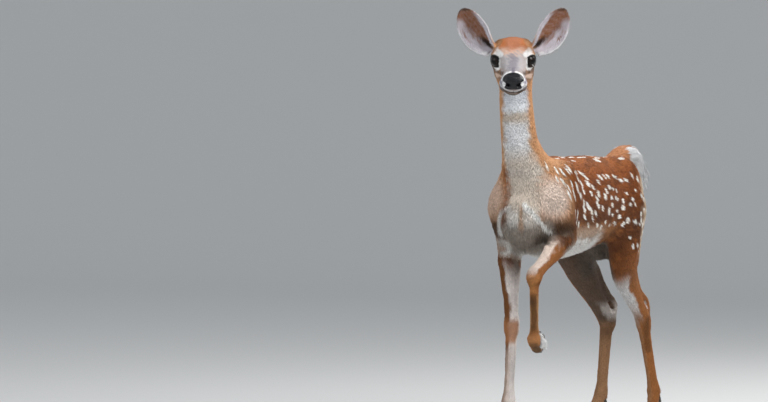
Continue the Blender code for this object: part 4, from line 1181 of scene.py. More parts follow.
def left_fore_colour(points, normals, wave):
    """The bent leg: a pale forearm, an orange knee, a brown cannon and a tan fetlock, white behind, with
    painted shade in the crease at the knee.
    """
    z = points[:, 2]
    streak = wander(points * (1, 1, 0.3), 0.012, 43)
    facing = ramp(dots(normals, unit((-0.35, -0.75, 0.55))) + wave + 0.12 * streak, 0.15, 0.65)
    colour = mix(LEG_COAT, tone(242, 222, 208), ramp(z, 0.335, 0.352) * facing * 0.95)
    knee = in_band(z, 0.308, 0.350) * ramp(-normals[:, 1], 0.0, 0.5)
    colour = mix(colour, tone(204, 140, 84), 0.85 * knee)
    cannon = (1 - ramp(z, 0.286, 0.316)) * ramp(z, 0.212, 0.240)
    facing = ramp(dots(normals, unit((0.42, -0.90, 0))) + wave, 0.30, 0.95)
    colour = mix(colour, tone(188, 150, 106), 0.7 * cannon * (1 - facing))
    colour = mix(colour, tone(104, 74, 44), 0.80 * cannon * facing)
    under_knee = in_band(z, 0.282, 0.304, 0.012) * ramp(-normals[:, 1], 0.1, 0.5)
    colour = mix(colour, tone(84, 58, 36), 0.55 * under_knee)
    fetlock = 1 - ramp(z, 0.212, 0.228)
    colour = mix(colour, tone(190, 132, 84), fetlock)
    colour = mix(colour, tone(84, 66, 46), 0.8 * fetlock * ramp(-normals[:, 2], 0.35, 0.8))
    behind = ramp(normals[:, 0] * 0.9 + normals[:, 1] * 0.4, 0.80, 0.97) * fetlock
    colour = mix(colour, tone(246, 242, 240), behind)
    # Painted shade in the crease at the top of the bent knee.
    crease = stripe(points, (0.046, -0.300, 0.343), (0.050, -0.300, 0.339), 0.0055)
    return mix(colour, LEG_DARK, 0.7 * crease)


def left_hind_colour(points, normals, wave):
    """Brown outside and in front, pale inside, with painted shade at the top of the inside and in the hollow
    behind the hock.
    """
    z = points[:, 2]
    inner = ramp(-normals[:, 0] * 0.9 - normals[:, 1] * 0.35 + wave, 0.05, 0.50)
    pale = mix(tone(166, 118, 80), tone(214, 212, 212), in_band(z, 0.240, 0.330, 0.04))
    # Painted shade where the inside of the thigh meets the groin.
    pale = mix(pale, GROIN_SHADE_COAT, ramp(z, 0.35, 0.39))
    outer = mix(LEG_COAT, mix(FLANK_COAT, LEG_COAT, 0.65), ramp(z, 0.27, 0.35))
    to_front = 0.90 * normals[:, 0] + 0.44 * normals[:, 1]
    gaskin = in_band(z, 0.235, 0.345, 0.02) * (1 - ramp(to_front - wave, 0.38, 0.72))
    colour = mix(outer, pale, np.maximum(inner, gaskin))
    # Painted shade in the hollow between the tendon and the bone behind the hock.
    hollow = stripe(points, (0.077, 0.278, 0.232), (0.080, 0.289, 0.165), 0.0075, 0.5)
    return mix(colour, LEG_DARK, 0.6 * hollow * ramp(dots(normals, unit((0.9, -0.45, 0))), 0.0, 0.4))


def right_hind_colour(points, normals, wave):
    """Seen from its inside: painted shade above the hock, a pale patch on the hock, a band of painted shade
    below it, and a tan cannon whose inside is darkened in part as painted shade.
    """
    z = points[:, 2]
    facing = ramp(-normals[:, 1] * 0.8 + normals[:, 0] * 0.6 + wave, -0.2, 0.4)
    # The paler inside of the cannon, darkened in part as painted shade.
    low = mix(LEG_COAT, tone(162, 126, 94), facing * 0.8)
    # Painted shade on the inside above the hock.
    high = mix(LEG_COAT, GROIN_SHADE_COAT, facing * 0.9)
    colour = mix(low, high, ramp(z + 0.01 * wave, 0.205, 0.235))
    # A band of painted shade below the hock.
    colour = mix(colour, tone(116, 84, 62), 0.7 * facing * in_band(z, 0.190, 0.215, 0.012))
    hock = in_band(z, 0.232, 0.262, 0.012) * ramp(normals[:, 0] + 0.3 * normals[:, 1] + wave, 0.35, 0.8)
    return mix(colour, tone(222, 214, 208), 0.75 * hock)


LEG_COLOURS = {
    "fore_right": right_fore_colour, "fore_left": left_fore_colour,
    "hind_left": left_hind_colour, "hind_right": right_hind_colour,
}
print("legs with markings", len(LEG_COLOURS))


# %% White spots
def tangent(ways, normals):
    """Directions turned into the plane of the surface."""
    return unit(ways - normals * dots(ways, normals)[:, None])


Spot = namedtuple("Spot", "place lie long wide")
SPOT_ROWS = (  # drop below the back, slant, first y, last y, count, half length, half width
    (0.004, 0.00, -0.140, 0.221, 26, 0.0090, 0.0032),
    (0.020, 0.09, -0.195, 0.231, 24, 0.0085, 0.0034),
    (0.040, 0.13, -0.188, 0.241, 23, 0.0082, 0.0036),
    (0.060, 0.14, -0.168, 0.244, 20, 0.0080, 0.0037),
    (0.082, 0.13, -0.158, 0.246, 16, 0.0090, 0.0038),
    (0.104, 0.11, -0.150, 0.246, 15, 0.0088, 0.0038),
    (0.134, 0.05, -0.140, 0.106, 17, 0.0062, 0.0030),
    (0.140, 0.00, 0.116, 0.246, 6, 0.0075, 0.0042),
    (0.168, 0.00, 0.124, 0.240, 5, 0.0070, 0.0042),
    (0.196, 0.00, 0.134, 0.232, 5, 0.0070, 0.0040),
)
BACK_Z, FARTHEST = 0.588, 0.012  # of a spot's place from the skin
spots = []
body = part_share(shares, "trunk", "neck", "hind_left", "hind_right") > 0.6
body_points, body_normals = points[body], normals[body]
body_aside = body_points[:, 0] - spine_x(body_points[:, 1])
for drop, slant, first, last, count, long, wide in SPOT_ROWS:
    for side in (1, -1):
        outer = dots(body_normals, np.array((side, 0, 0.8))) > 0.1
        chosen = np.flatnonzero((body_aside * side > 0.002) & outer)
        for y in np.linspace(first, last, count) + chance.normal(0, 0.004):
            y += chance.normal(0, 0.0050)
            z = BACK_Z - drop - slant * (y - first) + chance.normal(0, 0.0050)
            thigh = ramp(y, 0.09, 0.15)
            if chance.random() < 0.10 + 0.12 * thigh:
                continue
            flat = (body_points[chosen, 1] - y) ** 2 + (body_points[chosen, 2] - z) ** 2
            best = chosen[flat.argmin()]
            if flat.min() > FARTHEST**2:
                continue
            size = chance.uniform(0.82, 1.30)
            lie = lane_values(lane_shares(body_points[best][None]), "lie")[0]
            lie = lie + np.array((0, 0, -1.0)) * ramp(drop, 0.01, 0.05) * (1 - 0.5 * thigh)
            lie = unit(lie - body_normals[best] * dots(lie, body_normals[best]) + chance.normal(0, 0.14, 3))
            round_way = ramp(y, -0.06, 0.08) * ramp(drop, 0.01, 0.04)
            stray = tangent(chance.normal(0, 0.5, (1, 3)), body_normals[best][None])[0]
            lie = unit(lie + stray * round_way * 0.7)
            long_now = long * size * (1.15 - 0.62 * round_way)
            spots.append(Spot(body_points[best], lie, long_now, wide * size * (1 + 0.28 * round_way)))
print("spots", len(spots))


def spot_share(points):
    """1 inside a white spot and 0 outside, over all spots."""
    found = np.zeros(len(points))
    for spot in spots:
        near = np.flatnonzero(np.abs(points - spot.place).max(1) < spot.long * 1.6)
        offset = points[near] - spot.place
        along = offset @ spot.lie
        across = np.linalg.norm(offset - along[:, None] * spot.lie, axis=1)
        gap = np.sqrt((along / spot.long) ** 2 + (across / spot.wide) ** 2)
        found[near] = np.maximum(found[near], 1 - ramp(gap, 0.80, 1.15))
    return found


# %% The colour of any point
def coat_colour(points, normals, shares):
    """The colour of the coat at any points, mixed from the parts they belong to."""
    total = np.zeros((len(points), 3))
    parts = {
        "trunk": body_colour, "belly": body_colour, "chest": body_colour, "rump": body_colour,
        "neck": neck_colour, "tail": tail_colour, "head": head_colour, "ear": ear_colour,
    }
    sharp = shares**2 / (shares**2).sum(1, keepdims=True)
    for part in {lane.part for lane in lanes}:
        share = part_share(sharp, part)
        near = np.flatnonzero(share > 0.004)
        if part in parts:
            made = parts[part](points[near], normals[near])
        else:
            made = LEG_COLOURS[part](points[near], normals[near], 0.10 * wander(points[near], 0.03, 41))
        total[near] += made * share[near, None]
    spotted = part_share(shares, "trunk", "rump", "hind_left", "hind_right", "neck", "belly")
    return mix(total, SPOT_COAT, np.minimum(spot_share(points) * spotted * 1.15, 1))


def store_colour(mesh, colours):
    """Saves a colour for each point of a mesh."""
    layer = mesh.color_attributes.new("coat", "FLOAT_COLOR", "POINT")
    solid = np.column_stack((colours, np.ones(len(colours))))
    layer.data.foreach_set("color", solid.astype(np.float32).ravel())


skin_colours = coat_colour(points, normals, shares)
store_colour(skin.data, skin_colours)
print("skin coloured")

# %% [markdown]
# ## The coat
# A fawn's coat is short, soft and lies back along the body. It is built as a great many closed slivers of
# mesh: each one starts in the skin, is widest before its middle, lies along the lanes' direction and rises
# only a little, so that the tips overlap like shingles. Hair curves would be lighter, but a mesh goes
# everywhere a model can go. The slivers are longest on chest, belly and buttocks and shortest on the
# face and feet. Their places are drawn over the skin's faces, thinner where the slivers are big.

# %% An unwrap of the skin
skin.data.uv_layers.new(name="OFBake")
bpy.context.view_layer.objects.active = skin
skin.select_set(True)
bpy.ops.object.mode_set(mode="EDIT")
bpy.ops.mesh.select_all(action="SELECT")
bpy.ops.uv.smart_project(angle_limit=math.radians(66), island_margin=0.002)
bpy.ops.object.mode_set(mode="OBJECT")
skin.select_set(False)
flat = np.empty(len(skin.data.loops) * 2)
skin.data.uv_layers["OFBake"].data.foreach_get("uv", flat)
face_uvs = flat.reshape(-1, 3, 2)
corners = np.empty(len(skin.data.loops), np.int64)
skin.data.loops.foreach_get("vertex_index", corners)
corners = corners.reshape(-1, 3)
print("unwrapped", len(corners), "faces")


# %% Places for the hair
def drawn_places(density, count):
    """Draws count places over the faces, more where density is high: points, normals and unwrap places."""
    a, b, c = (points[corners[:, k]] for k in range(3))
    area = np.linalg.norm(np.cross(b - a, c - a), axis=1) / 2 * density[corners].mean(1)
    heap = np.cumsum(area)
    picks = (np.arange(count) + chance.random(count)) / count * heap[-1]
    face = np.minimum(np.searchsorted(heap, picks), len(heap) - 1)
    r1, r2 = np.sqrt(chance.random(count)), chance.random(count)
    weights = np.stack((1 - r1, r1 * (1 - r2), r1 * r2), 1)
    at = (points[corners[face]] * weights[..., None]).sum(1)
    up_way = unit((normals[corners[face]] * weights[..., None]).sum(1))
    return at, up_way, (face_uvs[face] * weights[..., None]).sum(1)


# %% Slivers and locks as meshes
SLIVER_FACES = np.array(((0, 2, 1), (0, 3, 2), (0, 1, 3), (4, 1, 2), (4, 2, 3), (4, 3, 1)))
SLIVER_PLACES = np.array(((-0.5, 0), (-0.08, 0.5), (-0.08, 0), (-0.08, -0.5), (0.5, 0)))
LOCK_FACES = np.array((
    (0, 2, 1), (0, 3, 2), (0, 1, 3), (1, 2, 5), (1, 5, 4), (2, 3, 6),
    (2, 6, 5), (3, 1, 4), (3, 4, 6), (7, 4, 5), (7, 5, 6), (7, 6, 4),
))
LOCK_PLACES = np.array((
    (-0.5, 0), (-0.2, 0.5), (-0.2, 0.02), (-0.2, -0.5),
    (0.15, 0.4), (0.15, 0.02), (0.15, -0.4), (0.5, 0),
))
PATCH = 0.003  # the share of the unwrap that one hair takes


def slivers(at, normals, lies, length, width, lift):
    """Five points for each sliver: its root, three round its waist and its tip."""
    across = np.cross(normals, lies)
    length, width, lift = length[:, None], width[:, None], lift[:, None]
    waist = at + lies * length * 0.40 + normals * length * lift * 0.50
    tip = at + lies * length + normals * length * lift * 0.85
    root = at - normals * (0.0003 + 0.1 * width)
    rows = (root, waist + across * width / 2, waist + normals * width * 0.34, waist - across * width / 2, tip)
    return np.stack(rows, 1)


def locks(at, normals, lies, length, width, lift, droop):
    """Eight points for each longer lock, which bends towards droop on its way."""
    across = np.cross(normals, lies)
    length, width, lift = length[:, None], width[:, None], lift[:, None]
    first = at + lies * length * 0.28 + normals * length * lift * 0.40
    second = at + lies * length * 0.64 + normals * length * lift * 0.75 + droop * length * 0.10
    tip = at + lies * length * 0.97 + normals * length * lift * 0.85 + droop * length * 0.26
    rows = [at - normals * 0.0006]
    for centre, share in ((first, 1.0), (second, 0.72)):
        half = across * width * share / 2
        rows += [centre + half, centre + normals * width * share * 0.4, centre - half]
    return np.stack(rows + [tip], 1)


def hair_piece(name, shapes, faces, patches, places, colours, finish, facing):
    """Joins slivers or locks into one mesh piece, with their unwrap, colours and the skin's own facing."""
    count, corners_each = len(shapes), shapes.shape[1]
    mesh = bpy.data.meshes.new(name)
    all_faces = (faces[None] + np.arange(count)[:, None, None] * corners_each).reshape(-1)
    mesh.vertices.add(count * corners_each)
    mesh.vertices.foreach_set("co", shapes.astype(np.float32).ravel())
    mesh.loops.add(len(all_faces))
    mesh.loops.foreach_set("vertex_index", all_faces.astype(np.int32))
    mesh.polygons.add(len(all_faces) // 3)
    mesh.polygons.foreach_set("loop_start", np.arange(0, len(all_faces), 3, dtype=np.int32))
    mesh.update(calc_edges=True)
    layer = mesh.uv_layers.new(name="OFBake")
    spread = places[:, None] * (1 - PATCH) + PATCH / 2 + patches[None] * PATCH
    layer.data.foreach_set("uv", spread.reshape(-1, 2)[all_faces].astype(np.float32).ravel())
    store_colour(mesh, colours.reshape(-1, 3))
    field = mesh.attributes.new("skin_facing", "FLOAT_VECTOR", "POINT")
    field.data.foreach_set("vector", np.repeat(facing, corners_each, axis=0).astype(np.float32).ravel())
    mesh.shade_smooth()
    mesh.materials.append(finish)
    piece = bpy.data.objects.new(name, mesh)
    bpy.context.collection.objects.link(piece)
    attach(piece, "root")
    return piece


coat_finish, coat_shader = new_material("fawn_coat")
pale_finish, pale_shader = new_material("pale_coat")

# %% The short coat
SLIVERS = 216000
length_here, width_here = lane_values(shares, "length"), lane_values(shares, "width")
density = 1 / (length_here * width_here)
density *= 1 - 0.45 * part_share(shares, *LEGS)
density *= 1 - 0.25 * part_share(shares, "head")
density *= 1 - 0.55 * part_share(shares, "ear")
covered = pad_share(points) < 1.05
for side in (1, -1):
    far, heading, share = round_the_eye(points, side)
    covered |= (share < 1.30) & (far < EYE_RADIUS * 1.5)
density[covered] = 0
at, up_way, places = drawn_places(density, SLIVERS)
hair_shares = lane_shares(at)
lies = lane_values(hair_shares, "lie")
sweep = 0.07 * wander(at, 0.06, 51) + chance.normal(0, 0.075, len(at))
lies = tangent(lies, up_way)
lies = unit(lies + np.cross(up_way, lies) * sweep[:, None])
length = lane_values(hair_shares, "length") * chance.uniform(0.75, 1.25, len(at))
width = lane_values(hair_shares, "width") * chance.uniform(0.75, 1.2, len(at)) * 1
smooth_coat = part_share(hair_shares, "neck", "chest", "head")
lift = np.clip(chance.normal(0.14, 0.04, len(at)) * (1 - 0.5 * smooth_coat), 0.03, 0.4)
shapes = slivers(at, up_way, lies, length, width, lift)
shapes[..., 2] = np.maximum(shapes[..., 2], 0.0008)
colours = coat_colour(at, up_way, hair_shares)
print("slivers", len(at), "mean length", round(float(length.mean()) * 1000, 2), "mm")

# %% Painted shade at the roots and painted light at the tips
rough_coat = part_share(hair_shares, "trunk", "hind_left", "hind_right")
strength = np.clip(1 + chance.normal(0, 1, len(at)) * (0.07 + 0.10 * rough_coat), 0.6, 1.5)[:, None]
# Painted shade at each sliver's root, and painted light on its top ridge and its tip.
ROOT_SHADE_TIP_LIGHT = np.array((0.82, 0.98, 1.02, 0.98, 1.07))
root_shade_tip_light = 1 + (ROOT_SHADE_TIP_LIGHT[None] - 1) * (1 - 0.6 * smooth_coat[:, None])
shaded = np.clip(colours[:, None] * strength[:, None] * root_shade_tip_light[..., None], 0, 0.95)
order = np.argsort(hair_shares.argmax(1), kind="stable")
PER_PIECE = 31000
coat_pieces = []
for k in range(0, len(order), PER_PIECE):
    chosen = order[k : k + PER_PIECE]
    piece = hair_piece(
        f"coat_{len(coat_pieces) + 1}", shapes[chosen], SLIVER_FACES, SLIVER_PLACES, places[chosen],
        shaded[chosen], coat_finish, up_way[chosen],
    )
    coat_pieces.append(piece)
print("coat pieces", len(coat_pieces))

# %% [markdown]
# ## Long hair
# Some hair is too long to lie flat: the pale fringe inside the ears, the white flag of the tail, the edge
# of the buttocks, the brisket and belly and the tufts behind the pasterns. Lashes and whiskers are single
# stiff black hairs. These are locks with two waists that can bend, built in the same way as the slivers.

# %% One bed of locks
# Painted shade at each lock's root, and painted light on the tops of its waists and at its tip.
LOCK_SHADE_AND_LIGHT = np.array((0.75, 0.95, 1.0, 0.95, 0.98, 1.04, 0.98, 1.08))


def lock_bed(name, mask, count, length, width, lift, ways, droop, paint=None, share=0.10):
    """Plants locks where mask is high; ways gives their direction and paint, if any, their colour."""
    at, up_way, places = drawn_places(mask, count)
    lies = tangent(ways(at, up_way), up_way)
    lies = unit(lies + np.cross(up_way, lies) * chance.normal(0, 0.14, count)[:, None])
    long = length * chance.uniform(0.65, 1.25, count)
    wide = width * chance.uniform(0.7, 1.2, count)
    rise = np.clip(chance.normal(lift, 0.3 * lift, count), 0.02, 1.2)
    shapes = locks(at, up_way, lies, long, wide, rise, np.array(droop, float))
    shapes[..., 2] = np.maximum(shapes[..., 2], 0.0006)
    colour = coat_colour(at, up_way, lane_shares(at)) if paint is None else np.tile(paint, (count, 1))
    bright = np.clip(chance.normal(1.0, share, count), 0.6, 1.4)[:, None, None]
    shaded = np.clip(colour[:, None] * bright * LOCK_SHADE_AND_LIGHT[None, :, None], 0, 0.95)
    piece = hair_piece(name, shapes, LOCK_FACES, LOCK_PLACES, places, shaded, pale_finish, up_way)
    long_pieces.append(piece)


def lane_ways(at, up_way):
    return lane_values(lane_shares(at), "lie")


long_pieces = []
FEWER = 1.0
left, forward, up = head_measures(points)

# %% Fringes of the ears
for side, name in SIDES:
    root, _, axis, opening, lower = ear_frame(side)
    along, down = ear_places(points, side)
    this_ear = (side * left > 0) * (part_share(shares, "ear") > 0.3)
    inside = ramp(dots(normals, opening), 0.05, 0.35) * this_ear
    field = inside * in_band(down, 0.10, 0.60, 0.08) * in_band(along, 0.12, 0.66, 0.06)
    rim = np.exp(-((np.abs(down / ear_half(along)) - 0.86) / 0.09) ** 2)
    rim = rim * inside * in_band(along, 0.10, 0.60, 0.05)

    def along_the_ear(at, up_way):
        return axis * 0.95 - lower * 0.30

    def across_the_cup(at, up_way):
        down_now = np.sign((at - root) @ lower)[:, None]
        return axis * 0.80 - lower * 0.45 * down_now

    lock_bed("ear_field_" + name, field, int(700 * FEWER), 0.0120, 0.0006, 0.14, along_the_ear, opening * 0.05)
    lock_bed("ear_fringe_" + name, rim, int(620 * FEWER), 0.0085, 0.0006, 0.30, across_the_cup, opening * 0.10,
             paint=tone(224, 218, 226))
    roots = in_band(along, 0.06, 0.24, 0.04) * this_ear * ramp(-down, 0.3, 0.7)
    lock_bed("ear_root_" + name, roots, int(240 * FEWER), 0.0070, 0.0006, 0.18, along_the_ear, (0, 0, 0))
print("ear fringes", len(long_pieces))

# %% Tail, buttocks, brisket and belly
tail_here = part_share(shares, "tail")
tail_white = tail_here * (tail_colour(points, normals)[:, 2] > 0.4) * (points[:, 1] > tail_low[1] - 0.022)


def tail_ways(at, up_way):
    out = np.sign(at[:, 0] - tail_x)[:, None] * np.array((1.0, 0, 0))
    return lane_ways(at, up_way) + out * chance.uniform(-0.1, 0.7, (len(at), 1))


lock_bed("tail_flag", tail_white, int(5200 * FEWER), 0.0210, 0.0011, 0.20, tail_ways, (0, 0.10, -0.60),
         paint=TAIL_WHITE)
loose = tail_white * ramp(points[:, 1], tail_high[1] - 0.030, tail_high[1] - 0.012)
lock_bed("tail_loose_hair", loose, int(700 * FEWER), 0.0290, 0.0011, 0.42, tail_ways, (0, 0.15, -1.1),
         paint=tone(250, 252, 255), share=0.05)
tail_top = tail_here * (1 - (tail_white > 0.1)) * (points[:, 1] > tail_low[1])
lock_bed("tail_crest", tail_top, int(1300 * FEWER), 0.0165, 0.0010, 0.22, tail_ways, (0, 0, -0.2))
edge_of_rump = part_share(shares, "rump") * ramp(normals[:, 1], 0.1, 0.5)
lock_bed("buttock_edge", edge_of_rump, int(1500 * FEWER), 0.0165, 0.0010, 0.20, lane_ways, (0, 0.05, -0.3))
under = part_share(shares, "belly", "chest") * ramp(-normals[:, 2], 0.1, 0.6)
under = under + part_share(shares, "chest") * 0.5
under = under * (1 - ramp(points[:, 1], 0.075, 0.095))
lock_bed("brisket_and_belly", under, int(3200 * FEWER), 0.0165, 0.0011, 0.15, lane_ways, (0, 0.1, -0.25))

# %% Tufts behind the fetlocks
heel = np.zeros(len(points))
for leg in (leg for leg in LEGS if leg != "fore_left"):
    behind = lanes[[lane.part for lane in lanes].index(leg) + 2]
    run = unit(behind.end - behind.start)
    rear = unit(np.cross(np.cross(run, (0, 1.0, 0.35)), run))
    along = (points - behind.start) @ run / np.linalg.norm(behind.end - behind.start)
    heel += part_share(shares, leg) * in_band(along, 0.05, 0.92, 0.1) * ramp(normals @ rear, 0.2, 0.7)
lock_bed("heel_tufts", heel, int(1100 * FEWER), 0.0100, 0.0008, 0.22, lane_ways, (0, 0, 0))
knob = part_share(shares, "fore_left") * (1 - ramp(points[:, 2], 0.214, 0.226))
outer_heel = knob * ramp(normals[:, 0] * 0.9 + normals[:, 1] * 0.4, 0.74, 0.95)


def over_the_hoof(at, up_way):
    return np.tile(unit(np.array((0.35, 0.75, -0.55))), (len(at), 1))


lock_bed("lifted_heel_tuft", outer_heel, int(420 * FEWER), 0.0160, 0.0011, 0.34, over_the_hoof, (0, 0.2, -0.3),
         paint=tone(250, 248, 246), share=0.05)
print("long pieces", len(long_pieces), [len(p.data.polygons) for p in long_pieces[-5:]])


# %% Lashes and whiskers
def single_hairs(name, at, ways, length, width, droop):
    """Stiff black hairs from given places in given directions."""
    ways = unit(ways)
    side_way = unit(np.cross(ways, (0.3, 0.2, 1.0)))
    normal = np.cross(ways, side_way)
    count = len(at)
    width, lift = np.full(count, width), np.full(count, 0.02)
    shapes = locks(at, normal, ways, length, width, lift, np.array(droop, float))
    dark = np.tile(tone(26, 22, 20), (count, 8, 1))
    places = np.full((count, 2), 0.5)
    piece = hair_piece(name, shapes, LOCK_FACES, LOCK_PLACES, places, dark, coat_finish, normal)
    long_pieces.append(piece)


lash_at, lash_ways = [], []
for side in (1, -1):
    gaze, inner, upright = eye_axes(side)
    for turn in np.linspace(0.25, 2.75, 34):
        angle = opening_angle(np.array(turn)) * 1.06
        out = inner * math.cos(turn) + upright * math.sin(turn)
        way = gaze * math.cos(angle) + out * math.sin(angle)
        lash_at.append(eye_places[side] + way * EYE_RADIUS * 1.11)
        lash_ways.append(gaze * 0.75 + out * 0.6 + chance.normal(0, 0.10, 3))
lash_at, lash_ways = np.array(lash_at), np.array(lash_ways)
lash_lengths = chance.uniform(0.0045, 0.0065, len(lash_at))
single_hairs("lashes", lash_at, lash_ways, lash_lengths, 0.00035, (0, 0, -0.3))
WHISKERS = 64
muzzle = (part_share(shares, "head") > 0.6) * ramp(forward, 0.070, 0.080) * (pad_share(points) > 1.25)
muzzle = muzzle * ramp(-up, 0.010, 0.020) * ramp(np.abs(left), 0.008, 0.016)
at, up_way, places = drawn_places(muzzle, WHISKERS)
ways = up_way + head_way(0, -0.5, -0.35) + chance.normal(0, 0.15, (WHISKERS, 3))
single_hairs("whiskers", at, ways, chance.uniform(0.007, 0.014, WHISKERS), 0.00022, (0, 0, -0.4))
print("lashes", len(lash_at), "whiskers", len(at))

# %% [markdown]
# ## Finishes
# Each finish is a node material. The colours of hair come with the meshes; a shared group adds the fine
# grain of single hairs, a little change of gloss and, for the skin, the relief of short flat hair. The
# nose is wet leather with small cells, the eye a dark brown iris with a long level pupil under a clear
# gloss, and horn has faint rings of growth. Painted pictures could do the same, but these need none.


# %% A group's sockets
def shade_group(name, inputs, outputs):
    """A node group with the given sockets, each a name and a kind."""
    group = bpy.data.node_groups.new(name, "ShaderNodeTree")
    for way, sockets in (("INPUT", inputs), ("OUTPUT", outputs)):
        for label, kind in sockets:
            group.interface.new_socket(label, in_out=way, socket_type="NodeSocket" + kind)
    return group, group.nodes.new("NodeGroupInput"), group.nodes.new("NodeGroupOutput")


def use_group(material, group):
    """A node of a material that stands for the whole group."""
    node = material.node_tree.nodes.new("ShaderNodeGroup")
    node.node_tree = group
    return node


LOOK = (("Colour", "Color"), ("Roughness", "Float"), ("Height", "Float"))


# %% Grain of the hair
hair_grain, grain_in, grain_out = shade_group("hair_grain", (("Coat", "Color"), ("Grain size", "Float")), LOOK)
place = add_node(hair_grain, "TexCoord")
strands = add_node(hair_grain, "TexNoise", [
    ("Vector", place.outputs["Object"]), ("Scale", grain_in.outputs["Grain size"]),
    ("Detail", 3.0), ("Roughness", 0.6),
])
patches = add_node(hair_grain, "TexNoise", [
    ("Vector", place.outputs["Object"]), ("Scale", 46.0), ("Detail", 2.0),
])
SLIGHT = [("From Min", 0.3), ("From Max", 0.7), ("To Min", 0.93), ("To Max", 1.06)]
fine = add_node(hair_grain, "MapRange", [("Value", strands.outputs["Fac"])] + SLIGHT)
broad_change = add_node(hair_grain, "MapRange", [("Value", patches.outputs["Fac"])] + SLIGHT)
both = [(0, fine.outputs[0]), (1, broad_change.outputs[0])]
strength_of = add_node(hair_grain, "Math", both, operation="MULTIPLY")
tinted = add_node(hair_grain, "VectorMath", [(0, grain_in.outputs["Coat"])], operation="SCALE")
hair_grain.links.new(strength_of.outputs[0], tinted.inputs["Scale"])
gloss = add_node(hair_grain, "MapRange", [
    ("Value", strands.outputs["Fac"]), ("To Min", 0.50), ("To Max", 0.78),
])
hair_grain.links.new(tinted.outputs["Vector"], grain_out.inputs["Colour"])
hair_grain.links.new(gloss.outputs[0], grain_out.inputs["Roughness"])
hair_grain.links.new(strands.outputs["Fac"], grain_out.inputs["Height"])


SOFTNESS = 0.6  # how far hair takes the skin's own facing, as light scattered between hairs does


def dress_in_hair(material, shader, grain_size, relief):
    """Colour from the mesh, grain from the shared group, and relief where the hair is drawn by it."""
    tree = material.node_tree
    coat = add_node(tree, "Attribute", attribute_name="coat")
    grain = use_group(material, hair_grain)
    tree.links.new(coat.outputs["Color"], grain.inputs["Coat"])
    grain.inputs["Grain size"].default_value = grain_size
    tree.links.new(grain.outputs["Colour"], shader.inputs["Base Color"])
    tree.links.new(grain.outputs["Roughness"], shader.inputs["Roughness"])
    shader.inputs["Specular IOR Level"].default_value = 0.14
    shader.inputs["Sheen Weight"].default_value = 0.04
    shader.inputs["Sheen Roughness"].default_value = 0.5
    if relief:
        flat_hair = [("Height", grain.outputs["Height"]), ("Strength", 0.5), ("Distance", relief)]
        bump = add_node(tree, "Bump", flat_hair)
        tree.links.new(bump.outputs["Normal"], shader.inputs["Normal"])
    else:
        facing = add_node(tree, "Attribute", attribute_name="skin_facing")
        turned = add_node(tree, "VectorTransform", [(0, facing.outputs["Vector"])], vector_type="NORMAL",
                          convert_from="OBJECT", convert_to="WORLD")
        own = add_node(tree, "NewGeometry")
        facings = [(0, SOFTNESS), (4, own.outputs["Normal"]), (5, turned.outputs[0])]
        blend = add_node(tree, "Mix", facings, data_type="VECTOR")
        tree.links.new(blend.outputs[1], shader.inputs["Normal"])


skin_finish, skin_shader = new_material("skin_under_coat")
dress_in_hair(skin_finish, skin_shader, 1500.0, 0.0004)
dress_in_hair(coat_finish, coat_shader, 1300.0, 0)
dress_in_hair(pale_finish, pale_shader, 1100.0, 0)
skin.data.materials.clear()
skin.data.materials.append(skin_finish)
print("hair finishes ready")

# %% Nose leather and lid margins
cells, cells_in, cells_out = shade_group(
    "leather_cells", (("Cell size", "Float"), ("Dark", "Color"), ("Light", "Color")), LOOK
)
place = add_node(cells, "TexCoord")
pebbles = add_node(cells, "TexVoronoi", [
    ("Vector", place.outputs["Object"]), ("Scale", cells_in.outputs["Cell size"]),
], feature="SMOOTH_F1")
mottle = add_node(cells, "TexNoise", [("Vector", place.outputs["Object"]), ("Scale", 130.0), ("Detail", 3.0)])
tint = add_node(cells, "Mix", [
    (0, mottle.outputs["Fac"]), (6, cells_in.outputs["Dark"]), (7, cells_in.outputs["Light"]),
], data_type="RGBA")
wet = add_node(cells, "MapRange", [
    ("Value", mottle.outputs["Fac"]), ("From Min", 0.3), ("From Max", 0.7),
    ("To Min", 0.24), ("To Max", 0.44),
])
crown_of = add_node(cells, "Math", [(0, 1.0), (1, pebbles.outputs["Distance"])], operation="SUBTRACT")
cells.links.new(tint.outputs[2], cells_out.inputs["Colour"])
cells.links.new(wet.outputs[0], cells_out.inputs["Roughness"])
cells.links.new(crown_of.outputs[0], cells_out.inputs["Height"])


def dress_in_leather(material, shader, cell_size, dark, light, relief):
    """Colour between dark and light, gloss and relief from the shared group."""
    tree = material.node_tree
    grain = use_group(material, cells)
    grain.inputs["Cell size"].default_value = cell_size
    grain.inputs["Dark"].default_value, grain.inputs["Light"].default_value = (*dark, 1), (*light, 1)
    tree.links.new(grain.outputs["Colour"], shader.inputs["Base Color"])
    tree.links.new(grain.outputs["Roughness"], shader.inputs["Roughness"])
    pebbling = [("Height", grain.outputs["Height"]), ("Strength", 0.6), ("Distance", relief)]
    bump = add_node(tree, "Bump", pebbling)
    tree.links.new(bump.outputs["Normal"], shader.inputs["Normal"])


dress_in_leather(nose_finish, nose_shader, 620.0, (0.003, 0.003, 0.004), (0.010, 0.011, 0.014), 0.0004)
dress_in_leather(lid_finish, lid_shader, 900.0, (0.005, 0.004, 0.004), (0.016, 0.012, 0.010), 0.0002)
nose_shader.inputs["Specular IOR Level"].default_value = 0.35
print("leather finishes ready")

